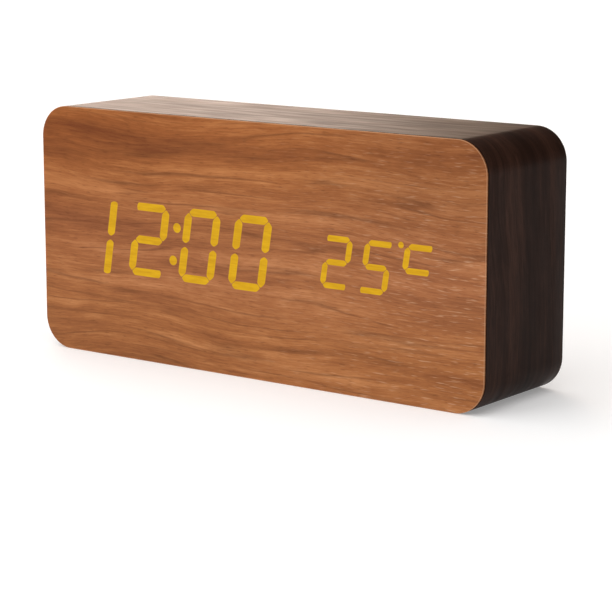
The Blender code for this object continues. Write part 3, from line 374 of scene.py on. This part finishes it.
MATERIALS = {
    "face": face_veneer(),
    "lit": lit_veneer(),
    "foil": sleeve_foil(),
    "mdf": fibreboard(),
    "stained_edge": fibreboard("stained_edge", srgb(30, 20, 15), srgb(52, 37, 28)),
    "milky_plastic": milky(),
    "white_plastic": moulded("white_moulding", srgb(214, 213, 208), 0.42, 0.25, lift=1.05),
    "black_plastic": moulded("black_moulding", srgb(26, 26, 28), 0.52, 0.9),
    "button_plastic": moulded("button_moulding", srgb(34, 34, 37), 0.36, 0.35),
    "board_green": circuit_board(),
    "chip_black": moulded("chip_moulding", srgb(24, 24, 26), 0.6, 0.5, 0.2),
    "epoxy": moulded("dipped_epoxy", srgb(20, 20, 22), 0.3, 0.2, 0.8),
    "steel": metal("plated_steel", srgb(196, 197, 200), 0.3),
    "nickel": metal("nickel_plate", srgb(206, 202, 192), 0.2),
    "cell_jacket": cell_jacket(),
    "grey_ribbon": moulded("flat_cable", srgb(150, 150, 152), 0.55, 0.3, lift=1.1),
    "red_wire": moulded("red_insulation", srgb(176, 20, 20), 0.4, 0.2, lift=1.2),
    "black_wire": moulded("black_insulation", srgb(22, 22, 24), 0.4, 0.2),
    "print": moulded("pad_print", srgb(188, 188, 186), 0.6, 0.2, lift=1.08),
}

# ---------------------------------------------------------------- mesh helpers


def piece(name, shape, body, replaces=(), materials=(), smooth_angle=None):
    """Turns a bmesh into a piece of the clock that moves with a CAD body."""
    mesh = bpy.data.meshes.new(name)
    shape.to_mesh(mesh)
    shape.free()
    for material in materials:
        mesh.materials.append(MATERIALS[material])
    if smooth_angle is not None:
        mesh.polygons.foreach_set("use_smooth", [True] * len(mesh.polygons))
        mesh.set_sharp_from_angle(angle=math.radians(smooth_angle))
    obj = bpy.data.objects.new(name, mesh)
    bpy.context.scene.collection.objects.link(obj)
    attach(obj, body)
    if replaces:
        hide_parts(*replaces)
    return obj


def rounded_rectangle(half_x, half_z, radius, centre, steps=16, side_steps=1):
    """Points of a rounded rectangle, anticlockwise from the middle of its lower side."""
    x, z = centre
    points = [(x, z - half_z)]
    corners = [(1, -1), (1, 1), (-1, 1), (-1, -1)]
    for number, (sx, sz) in enumerate(corners):
        middle = (x + sx * (half_x - radius), z + sz * (half_z - radius))
        arc = []
        for step in range(steps + 1):
            angle = math.pi / 2 * (number - 1 + step / steps)
            arc.append((middle[0] + radius * math.cos(angle), middle[1] + radius * math.sin(angle)))
        last, first = points[-1], arc[0]
        for step in range(1, side_steps):
            share = step / side_steps
            points.append((last[0] + (first[0] - last[0]) * share, last[1] + (first[1] - last[1]) * share))
        points += arc
    return points


def ring(shape, points, y):
    return [shape.verts.new((x, y, z)) for x, z in points]


def bridge(shape, first, second):
    """Quads between two closed rings of as many vertices. Returns them in order round the ring."""
    faces = []
    count = len(first)
    for i in range(count):
        j = (i + 1) % count
        faces.append(shape.faces.new((first[i], first[j], second[j], second[i])))
    return faces


def ring_edges(shape, verts):
    """The edges between neighbours round a closed ring of vertices."""
    return [shape.edges.get(pair) for pair in zip(verts, verts[1:] + verts[:1])]


def lathe(shape, profile, centre, axis, steps=48):
    """Turns a profile of (radius, height) points about an axis. Points of no radius close it."""
    frame_z = Vector(axis).normalized()
    frame_x = frame_z.orthogonal().normalized()
    frame_y = frame_z.cross(frame_x)
    angles = [2 * math.pi * i / steps for i in range(steps)]
    directions = [frame_x * math.cos(angle) + frame_y * math.sin(angle) for angle in angles]
    rings = []
    for radius, height in profile:
        middle = Vector(centre) + frame_z * height
        if radius < 1e-9:
            rings.append([shape.verts.new(middle)])
            continue
        rings.append([shape.verts.new(middle + direction * radius) for direction in directions])
    for first, second in zip(rings, rings[1:]):
        for i in range(steps):
            j = (i + 1) % steps
            if len(first) == 1 and len(second) == 1:
                continue
            if len(first) == 1:
                shape.faces.new((first[0], second[j], second[i]))
            elif len(second) == 1:
                shape.faces.new((first[i], first[j], second[0]))
            else:
                shape.faces.new((first[i], first[j], second[j], second[i]))


def softened(profile, radius, steps=4):
    """A profile with its inner corners rounded to that radius, or less where its sides are short."""
    points = [profile[0]]
    for before, corner, after in zip(profile, profile[1:], profile[2:]):
        corner_v = Vector(corner)
        to_before, to_after = Vector(before) - corner_v, Vector(after) - corner_v
        reach = min(radius, to_before.length * 0.45, to_after.length * 0.45)
        start = corner_v + to_before.normalized() * reach
        end = corner_v + to_after.normalized() * reach
        for step in range(steps + 1):
            t = step / steps
            points.append(tuple(start * (1 - t) ** 2 + corner_v * 2 * t * (1 - t) + end * t**2))
    points.append(profile[-1])
    return points


# ---------------------------------------------------------------- front veneer with its lit segments

FACE_LOW, FACE_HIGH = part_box("front_veneer")
CASE_LOW, CASE_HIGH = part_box("case_sleeve")
CORNER_RADIUS = 9 * MM
MIDDLE_Z = (FACE_LOW.z + FACE_HIGH.z) / 2
HALF_X = FACE_HIGH.x
HALF_Z = (FACE_HIGH.z - FACE_LOW.z) / 2

SLANT = 0.16  # how far the figures lean, as a share of their height
SOFT_EDGE = 0.14 * MM
CORNER_GAP = 0.085 * MM  # more than half of SOFT_EDGE, so that no two outlines touch
FREE_END = 0.65 * MM  # how far a stroke runs past its corner where no other stroke meets it
MIDDLE_GAP = 0.45 * MM
# width, height, and thickness of uprights and of bars
TIME = (10.0 * MM, 18.5 * MM, 2.6 * MM, 2.2 * MM)
SMALL = (7.0 * MM, 12.6 * MM, 1.8 * MM, 1.6 * MM)
ONE = (10.0 * MM, 19.7 * MM, 2.6 * MM, 2.2 * MM)
TIME_BASE = 25.3 * MM
SMALL_BASE = 28.7 * MM
# left end, base line, size and lit segments
DIGITS = [
    (-61.2 * MM, TIME_BASE - 1.2 * MM, ONE, "bc"),
    (-41.9 * MM, TIME_BASE, TIME, "abged"),
    (-23.8 * MM, TIME_BASE, TIME, "abcdef"),
    (-6.2 * MM, TIME_BASE, TIME, "abcdef"),
    (24.5 * MM, SMALL_BASE, SMALL, "abged"),
    (37.1 * MM, SMALL_BASE, SMALL, "afgcd"),
]
# the small letter is half as tall: (left end, base line)
UNIT = (50.6 * MM, 35.2 * MM)
DOTS = [
    (-26.7 * MM, 29.8 * MM, 1.35 * MM),
    (-25.2 * MM, 39.0 * MM, 1.35 * MM),
    (49.4 * MM, 41.7 * MM, 0.85 * MM),
]


def segment_ends(size, name):
    width, height = size[:2]
    mid = height / 2
    return {
        "a": ((0, height), (width, height)),
        "b": ((width, mid), (width, height)),
        "c": ((width, 0), (width, mid)),
        "d": ((0, 0), (width, 0)),
        "e": ((0, 0), (0, mid)),
        "f": ((0, mid), (0, height)),
        "g": ((0, mid), (width, mid)),
    }[name]


def bar_outline(start, end, thickness, ends, steps=5):
    """A stroke from start to end as a closed list of points.

    Each of its ends is (gap, taper): how far it stops short, and how long its point is, as a share of the
    thickness.
    """
    start, end = Vector(start), Vector(end)
    along = (end - start).normalized()
    side = Vector((-along.y, along.x)) * thickness / 2
    (start_gap, start_taper), (end_gap, end_taper) = ends
    a, b = start + along * start_gap, end - along * end_gap
    first_shoulder, last_shoulder = along * thickness * start_taper, along * thickness * end_taper
    corners = [
        a,
        a + first_shoulder - side,
        b - last_shoulder - side,
        b,
        b - last_shoulder + side,
        a + first_shoulder + side,
    ]
    points = []
    for i, corner in enumerate(corners):
        before, after = corners[i - 1], corners[(i + 1) % 6]
        reach = thickness * 0.22
        first = corner + (before - corner).normalized() * reach
        last = corner + (after - corner).normalized() * reach
        for step in range(steps + 1):
            t = step / steps
            points.append(first * (1 - t) ** 2 + corner * 2 * t * (1 - t) + last * t**2)
    return points


def strokes():
    """Every lit stroke, as (left, base, start, end, thickness, ends)."""
    letter = (SMALL[0], SMALL[1] / 2, *SMALL[2:])
    # the last value says whether two uprights meet halfway up with no bar between them
    figures = [
        (left, base, size, [segment_ends(size, name) for name in lit], "g" not in lit)
        for left, base, size, lit in DIGITS
    ]
    figures.append((*UNIT, letter, letter_bars(letter), False))
    found = []
    for left, base, size, bars, uprights_meet in figures:
        corners = [point for bar in bars for point in bar]
        for start, end in bars:
            upright = start[0] == end[0]
            ends = []
            for point in (start, end):
                halfway = abs(point[1] - size[1] / 2) < 1e-6
                if corners.count(point) == 1:
                    ends.append((-FREE_END * size[0] / TIME[0], 0.16))
                elif upright and uprights_meet and halfway:
                    ends.append((MIDDLE_GAP, 0.32))
                else:
                    ends.append((CORNER_GAP, 0.5))
            found.append((left, base, start, end, size[2] if upright else size[3], ends))
    return found


def letter_bars(size):
    """The strokes of the unit's letter: upper bar, upright and lower bar."""
    width, height = size[:2]
    return [((0, height), (width, height)), ((0, 0), (0, height)), ((0, 0), (width, 0))]


def lit_outlines(grow):
    """The lit shapes on the face, each larger than its bright core by grow."""
    shapes = []
    for left, base, start, end, thickness, ends in strokes():
        ends = [(gap - grow, taper) for gap, taper in ends]
        points = bar_outline(start, end, thickness + 2 * grow, ends)
        shapes.append([(left + p.x + SLANT * p.y, base + p.y) for p in points])
    for x, z, radius in DOTS:
        angles = [math.pi * i / 12 for i in range(24)]
        reach = radius + grow
        shapes.append([(x + reach * math.cos(a), z + reach * math.sin(a)) for a in angles])
    return shapes


def build_face():
    shape = bmesh.new()
    glow = shape.verts.layers.float.new("glow")
    painted_edge_highlight = shape.verts.layers.float.new("painted_edge_highlight")
    front, back = FACE_LOW.y, FACE_HIGH.y
    edge = 0.18 * MM

    def outline(inset):
        radius = CORNER_RADIUS - inset
        return rounded_rectangle(HALF_X - inset, HALF_Z - inset, radius, (0, MIDDLE_Z), 20)

    rings = [ring(shape, outline(0.15 * MM), back), ring(shape, outline(0), back - 0.12 * MM)]
    for step in range(5):
        angle = math.pi / 2 * step / 4
        inset, back_off = edge * (1 - math.cos(angle)), edge * (1 - math.sin(angle))
        rings.append(ring(shape, outline(inset), front + back_off))
    for first, second in zip(rings, rings[1:]):
        bridge(shape, first, second)
    # the rounded front edge carries the painted highlight
    for vert in rings[3] + rings[4] + rings[5]:
        vert[painted_edge_highlight] = 1.0
    shape.faces.new(rings[0])

    border = ring_edges(shape, rings[-1])
    for outer, inner in zip(lit_outlines(SOFT_EDGE / 2), lit_outlines(-SOFT_EDGE / 2)):
        outer_ring, inner_ring = ring(shape, outer, front), ring(shape, inner, front)
        for face in bridge(shape, outer_ring, inner_ring):
            face.material_index = 1
        core = shape.faces.new(inner_ring)
        core.material_index = 1
        for vert in inner_ring:
            vert[glow] = 1.0
        border += ring_edges(shape, outer_ring)
    bmesh.ops.triangle_fill(shape, edges=border, use_beauty=True, use_dissolve=False, normal=(0, -1, 0))
    bmesh.ops.recalc_face_normals(shape, faces=shape.faces)
    return piece("face_veneer", shape, "case", ["front_veneer"], ["face", "lit"], 35)


# ---------------------------------------------------------------- sleeve


def build_sleeve():
    shape = bmesh.new()
    grain = shape.loops.layers.uv.new("grain")
    front, rear = CASE_LOW.y, CASE_HIGH.y
    wall = CASE_HIGH.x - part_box("rear_cover")[1].x - GAP
    centre = (0, MIDDLE_Z)
    steps, side_steps = 20, 10

    def outer(inset):
        radius = CORNER_RADIUS - inset
        return rounded_rectangle(HALF_X - inset, HALF_Z - inset, radius, centre, steps, side_steps)

    def inner(grow):
        half_x, half_z = HALF_X - wall + grow, HALF_Z - wall + grow
        return rounded_rectangle(half_x, half_z, 2 * MM + grow, centre, steps, side_steps)

    front_edge, edge = 0.12 * MM, 0.5 * MM
    stations = [(outer(front_edge), front), (outer(0), front + front_edge)]
    length = rear - front - edge
    stations += [(outer(0), front + front_edge + (length - front_edge) * i / 6) for i in range(1, 7)]
    for step in range(1, 5):
        angle = math.pi / 2 * step / 4
        stations.append((outer(edge * (1 - math.cos(angle))), rear - edge * (1 - math.sin(angle))))
    foil_bands = len(stations) - 1
    stations += [(inner(0.3 * MM), rear), (inner(0), rear - 0.3 * MM), (inner(0), front)]
    rings = [ring(shape, points, y) for points, y in stations]
    distances = [0.0]
    flat = outer(0)
    for a, b in zip(flat, flat[1:] + flat[:1]):
        distances.append(distances[-1] + math.dist(a, b))
    for band, (first, second) in enumerate(zip(rings, rings[1:] + rings[:1])):
        faces = bridge(shape, first, second)
        y1 = stations[band][1]
        y2 = stations[(band + 1) % len(stations)][1]
        for i, face in enumerate(faces):
            face.material_index = 0 if band < foil_bands else 1
            for loop, u, v in zip(face.loops, (i, i + 1, i + 1, i), (y1, y1, y2, y2)):
                loop[grain].uv = (distances[u], v)
    bmesh.ops.recalc_face_normals(shape, faces=shape.faces)
    return piece("sleeve", shape, "case", ["case_sleeve"], ["foil", "stained_edge"], 40)


# ---------------------------------------------------------------- pieces that show at the back


def node_centre(node):
    low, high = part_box(node)
    return (low + high) / 2


def build_buttons():
    """Each cap has a dished top and a rounded rim, and stands where the CAD's button does."""
    for label in BUTTONS:
        node = f"button_{label}"
        low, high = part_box(node)
        x, z = node_centre(node).x, node_centre(node).z
        top, radius, flange = high.y, 3.0 * MM, (high.x - low.x) / 2
        flange_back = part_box("rear_cover")[1].y - COVER_PLATE - GAP
        profile = [
            (0, top - 0.35 * MM),
            (1.2 * MM, top - 0.30 * MM),
            (2.1 * MM, top - 0.10 * MM),
            (2.5 * MM, top),
            (2.75 * MM, top - 0.06 * MM),
            (2.95 * MM, top - 0.26 * MM),
            (radius, top - 0.5 * MM),
            (radius, flange_back),
            (flange, flange_back),
            (flange, flange_back - 1.0 * MM),
            (1.7 * MM, flange_back - 1.0 * MM),
            (1.7 * MM, low.y),
            (0, low.y),
        ]
        shape = bmesh.new()
        lathe(shape, profile, (x, 0, z), (0, 1, 0), 64)
        bmesh.ops.recalc_face_normals(shape, faces=shape.faces)
        piece(f"cap_{label}", shape, f"{label}_button", [node], ["button_plastic"], 40)


def build_screws():
    """Pan heads with a cross recess."""
    for number in range(1, 5):
        node = f"cover_screw_{number}"
        low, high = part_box(node)
        x, z = node_centre(node).x, node_centre(node).z
        radius = (high.x - low.x) / 2
        seat = high.y - 1.0 * MM
        shape = bmesh.new()
        profile = softened(
            [
                (0, high.y - 0.02 * MM),
                (radius * 0.72, high.y - 0.06 * MM),
                (radius, seat + 0.45 * MM),
                (radius, seat),
                (1.3 * MM, seat),
                (1.3 * MM, low.y + 2 * MM),
                (0, low.y),
            ],
            0.25 * MM,
        )
        lathe(shape, profile, (x, 0, z), (0, 1, 0), 48)
        bmesh.ops.recalc_face_normals(shape, faces=shape.faces)
        screw = piece(f"screw_{number}", shape, "case", [node], ["steel"], 40)
        cutter = recess_cutter(number, (x, z), radius * 0.62, high.y)
        modifier = screw.modifiers.new("recess", "BOOLEAN")
        modifier.operation, modifier.solver, modifier.object = "DIFFERENCE", "EXACT", cutter
        bake(screw)
        bpy.data.objects.remove(cutter)


def recess_cutter(number, centre, arm, face):
    """A cross that narrows with depth, turned by a different amount for each screw."""
    x, z = centre
    half_blade, depth = 0.36 * MM, 0.6 * MM
    plus = []
    for quarter in range(4):
        angle = math.pi / 2 * quarter + number * 0.9
        for u, v in ((arm, -half_blade), (arm, half_blade), (half_blade, half_blade)):
            turned_u = u * math.cos(angle) - v * math.sin(angle)
            turned_v = u * math.sin(angle) + v * math.cos(angle)
            plus.append((turned_u, turned_v))
    shape = bmesh.new()
    deep = ring(shape, [(x + u * 0.8, z + v * 0.8) for u, v in plus], face - depth)
    open_end = ring(shape, [(x + u * 1.1, z + v * 1.1) for u, v in plus], face + depth / 2)
    bridge(shape, deep, open_end)
    shape.faces.new(deep)
    shape.faces.new(open_end)
    bmesh.ops.recalc_face_normals(shape, faces=shape.faces)
    mesh = bpy.data.meshes.new(f"screw_recess_{number}")
    shape.to_mesh(mesh)
    shape.free()
    cutter = bpy.data.objects.new(f"screw_recess_{number}", mesh)
    bpy.context.scene.collection.objects.link(cutter)
    return cutter


def bake(obj):
    """Replaces an object's mesh by what its modifiers make of it."""
    bpy.context.view_layer.update()
    graph = bpy.context.evaluated_depsgraph_get()
    mesh = bpy.data.meshes.new_from_object(obj.evaluated_get(graph))
    obj.modifiers.clear()
    obj.data = mesh


def build_marks():
    """Pad-printed marks on the cover, over the buttons: a ring for set, a triangle each for up and down."""
    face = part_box("dc_jack")[1].y + GAP
    rise, radius, thick = 6.3 * MM, 1.15 * MM, 0.04 * MM
    for label in BUTTONS:
        x, z = node_centre(f"button_{label}").x, node_centre(f"button_{label}").z + rise
        if label == "set":
            sides, turn, inner = 28, 0.0, 0.62
        else:
            sides, turn, inner = 3, (math.pi / 2 if label == "up" else -math.pi / 2), 0.0
        angles = [turn + 2 * math.pi * i / sides for i in range(sides)]
        shape = bmesh.new()

        def loop(scale, y):
            reach = scale * radius
            return ring(shape, [(x + reach * math.cos(a), z + reach * math.sin(a)) for a in angles], y)

        outer_low, outer_high = loop(1, face), loop(1, face + thick)
        bridge(shape, outer_low, outer_high)
        if inner:
            inner_low, inner_high = loop(inner, face), loop(inner, face + thick)
            bridge(shape, outer_high, inner_high)
            bridge(shape, inner_high, inner_low)
            bridge(shape, inner_low, outer_low)
        else:
            shape.faces.new(outer_high)
            shape.faces.new(outer_low)
        bmesh.ops.recalc_face_normals(shape, faces=shape.faces)
        piece(f"mark_{label}", shape, "case", (), ["print"])


def build_cells():
    """The three dry cells, each with a printed jacket that is folded over its ends."""
    for number in range(1, 4):
        node = f"battery_cell_{number}"
        low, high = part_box(node)
        middle = (low + high) / 2
        verts = [v.co for v in frame["nodes"][node].data.vertices]
        # the positive end is the narrow one
        tip = [math.hypot(v.y - middle.y, v.z - middle.z) for v in verts if v.x > high.x - 0.1 * MM]
        nub_right = max(tip) < 3 * MM
        axis = (1, 0, 0) if nub_right else (-1, 0, 0)
        foot = low.x if nub_right else high.x
        length, radius = high.x - low.x, (high.z - low.z) / 2
        profile = softened(
            [
                (0, length),
                (1.9 * MM, length),
                (1.9 * MM, length - 0.8 * MM),
                (3.6 * MM, length - 0.8 * MM),
                (3.8 * MM, length - 0.95 * MM),
                (radius, length - 1.3 * MM),
                (radius, 0.5 * MM),
                (4.1 * MM, 0.12 * MM),
                (3.9 * MM, 0.3 * MM),
                (3.5 * MM, 0.3 * MM),
                (3.2 * MM, 0),
                (0, 0),
            ],
            0.3 * MM,
        )
        shape = bmesh.new()
        along = shape.verts.layers.float.new("along")
        lathe(shape, profile, (foot, middle.y, middle.z), axis, 64)
        direction = Vector(axis)
        for vert in shape.verts:
            vert[along] = (vert.co - Vector((foot, middle.y, middle.z))).dot(direction) / MM
        bmesh.ops.recalc_face_normals(shape, faces=shape.faces)
        piece(f"dry_cell_{number}", shape, "case", [node], ["cell_jacket"], 35)


def build_springs():
    """Conical contact springs, wound finer than the CAD's and closed at both ends."""
    wire, turns, per_turn = 0.3 * MM, 4, 28
    wide_radius, narrow_radius = 3.1, 1.9  # in millimetres
    flat_share = 0.12  # of the winding at each end, which lies in one plane
    for number in range(1, 4):
        node = f"contact_spring_{number}"
        low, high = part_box(node)
        middle = (low + high) / 2
        verts = [v.co for v in frame["nodes"][node].data.vertices]
        reach = {}
        for side, x in ((-1, low.x), (1, high.x)):
            near = [math.hypot(v.y - middle.y, v.z - middle.z) for v in verts if abs(v.x - x) < 0.5 * MM]
            reach[side] = max(near)
        wide = -1 if reach[-1] > reach[1] else 1
        start, end = (low.x, high.x) if wide < 0 else (high.x, low.x)
        first = wire if wide < 0 else -wire
        travel = end - start - math.copysign(2 * wire, end - start)
        axis_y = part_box("battery_cell_1")[0].y + CELL_RADIUS
        axis_z = node_centre(f"battery_cell_{number}").z
        points = []
        for step in range(turns * per_turn + 1):
            share = step / (turns * per_turn)
            eased = min(1.0, max(0.0, (share - flat_share) / (1 - 2 * flat_share)))
            radius = (wide_radius + (narrow_radius - wide_radius) * share) * MM
            angle = 2 * math.pi * step / per_turn
            x = start + first + travel * eased
            points.append((x, axis_y + radius * math.cos(angle), axis_z + radius * math.sin(angle)))
        curve = bpy.data.curves.new(f"spring_{number}", "CURVE")
        curve.dimensions = "3D"
        curve.bevel_depth = wire
        curve.bevel_resolution = 3
        curve.use_fill_caps = True
        spline = curve.splines.new("POLY")
        spline.points.add(len(points) - 1)
        for target, point in zip(spline.points, points):
            target.co = (*point, 1)
        curve.materials.append(MATERIALS["nickel"])
        coil = bpy.data.objects.new(f"spring_{number}", curve)
        bpy.context.scene.collection.objects.link(coil)
        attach(coil, "case")
        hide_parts(node)


def dress_cad_nodes():
    """The CAD pieces that stay: a procedural material each, and edges that catch the light."""
    slots = {s["node"]: s["material_slot"] for s in frame["record"]["subparts"]}
    for name, node in frame["nodes"].items():
        if node.hide_render:
            continue
        node.data.materials.clear()
        node.data.materials.append(MATERIALS[slots[name]])
        bevel = node.modifiers.new("soft_edges", "BEVEL")
        bevel.width = 0.15 * MM if name in ("rear_cover", "battery_door", "dc_jack") else 0.06 * MM
        bevel.segments = 2
        bevel.limit_method = "ANGLE"
        bevel.angle_limit = math.radians(40)
        bevel.use_clamp_overlap = True


# ---------------------------------------------------------------- floor, light and camera

FLOOR_GLOW = 0.26  # the floor is a light table, which keeps its shadows pale
SKY_GLOW = 5.0
KEY_PLACE = (-0.45, -1.5, 0.55)
KEY_TARGET = (0, 0, 35 * MM)
CAMERA_PLACE = (0.3680, -0.4850, 0.1355)
CAMERA_DIP = 11.01  # degrees below level
CAMERA_TURN = 36.85  # degrees to the left of +Y
LENS, SENSOR_WIDTH = 131.7, 36.0


def build_floor():
    bpy.ops.mesh.primitive_plane_add(size=12, location=(0, 0, -0.05 * MM))
    floor = bpy.context.object
    floor.name = "floor"
    shader = Shader("pale_floor", Roughness=0.9, Specular_IOR_Level=0.1)
    place = shader.node("TexCoord", output=3)
    cloud = shader.noise(place, 3.0)
    shader.set("Base Color", shader.ramp(cloud, (0.3, (0.80, 0.80, 0.80)), (0.7, (0.81, 0.81, 0.81))))
    shader.set("Emission Color", (1.0, 1.0, 1.0))
    shader.set("Emission Strength", FLOOR_GLOW)
    floor.data.materials.append(shader.material)


def build_backdrop():
    """A pale wall all round, far off, which only the camera sees: it neither lights nor shades the clock."""
    place = (0, 0, 2.9)
    bpy.ops.mesh.primitive_cylinder_add(
        vertices=96, radius=5.8, depth=6, end_fill_type="NOTHING", location=place
    )
    wall = bpy.context.object
    wall.name = "backdrop"
    shader = Shader("pale_wall", Roughness=1.0, Specular_IOR_Level=0.0)
    shader.set("Base Color", (0.0, 0.0, 0.0))
    cloud = shader.noise(shader.node("TexCoord", output=3), 0.5)
    shader.set("Emission Color", shader.ramp(cloud, (0.3, (0.97, 0.97, 0.97)), (0.7, (1.0, 1.0, 1.0))))
    shader.set("Emission Strength", 1.0)
    wall.data.materials.append(shader.material)
    wall.visible_diffuse = wall.visible_glossy = wall.visible_transmission = wall.visible_shadow = False


def build_sky():
    """A dim dome with a warm glow low at the back, on the left, which the clock's top mirrors."""
    world = bpy.data.worlds.new("studio")
    world.use_nodes = True
    bpy.context.scene.world = world
    sky = Nodes(world.node_tree)
    x, y, z = sky.separate(sky.node("TexCoord", output=0))
    behind = sky.rescale(y, 0.30, 0.62)
    low = sky.rescale(z, 0.85, 0.45)
    leftward = sky.math("MULTIPLY", x, -1.0)
    glow = sky.ramp(
        leftward,
        (0.485, (0.03, 0.02, 0.016)),
        (0.54, (0.36, 0.27, 0.20)),
        (0.60, (1.0, 0.79, 0.66)),
    )
    across = sky.rescale(leftward, -1.0, 1.0)
    dome = sky.ramp(across, (0.35, (0.10, 0.09, 0.085)), (0.75, (0.46, 0.45, 0.44)))
    front = sky.rescale(y, 0.35, 0.05)
    colour = sky.mix(sky.math("MAXIMUM", front, sky.rescale(z, 0.5, 0.9)), (0.03, 0.024, 0.02), dome)
    warm = sky.mix(1.0, glow, (SKY_GLOW, SKY_GLOW, SKY_GLOW), "MULTIPLY")
    warm = sky.mix(sky.math("MULTIPLY", behind, low), (0, 0, 0), warm)
    colour = sky.mix(1.0, colour, warm, "ADD")
    background = sky.tree.nodes["Background"]
    sky.tree.links.new(colour, background.inputs["Color"])
    background.inputs["Strength"].default_value = 1.0


def build_lights():
    """An even light from above, and a soft key light from the front left."""
    sun = bpy.data.lights.new("ceiling", "SUN")
    sun.angle = math.radians(110)
    sun.energy = 2.3
    ceiling = bpy.data.objects.new("ceiling", sun)
    ceiling.rotation_euler = (math.radians(14), math.radians(-8), 0)
    bpy.context.scene.collection.objects.link(ceiling)

    light = bpy.data.lights.new("key", "AREA")
    light.shape, light.size, light.size_y = "RECTANGLE", 1.0, 0.7
    light.energy = 8
    key = bpy.data.objects.new("key", light)
    key.location = KEY_PLACE
    key.rotation_euler = (Vector(KEY_TARGET) - Vector(KEY_PLACE)).to_track_quat("-Z", "Y").to_euler()
    key.visible_camera = False
    bpy.context.scene.collection.objects.link(key)


def build_camera():
    """The camera stands in front and to the right, a little above the clock."""
    data = bpy.data.cameras.new("camera")
    data.lens, data.sensor_width = LENS, SENSOR_WIDTH
    data.clip_start, data.clip_end = 0.01, 50
    camera = bpy.data.objects.new("camera", data)
    bpy.context.scene.collection.objects.link(camera)
    camera.location = CAMERA_PLACE
    camera.rotation_euler = (math.radians(90 - CAMERA_DIP), 0, math.radians(CAMERA_TURN))
    bpy.context.scene.camera = camera


build_face()
build_sleeve()
build_buttons()
build_screws()
build_marks()
build_cells()
build_springs()
dress_cad_nodes()
build_floor()
build_backdrop()
build_sky()
build_lights()
build_camera()
bpy.context.scene.view_settings.view_transform = "Standard"
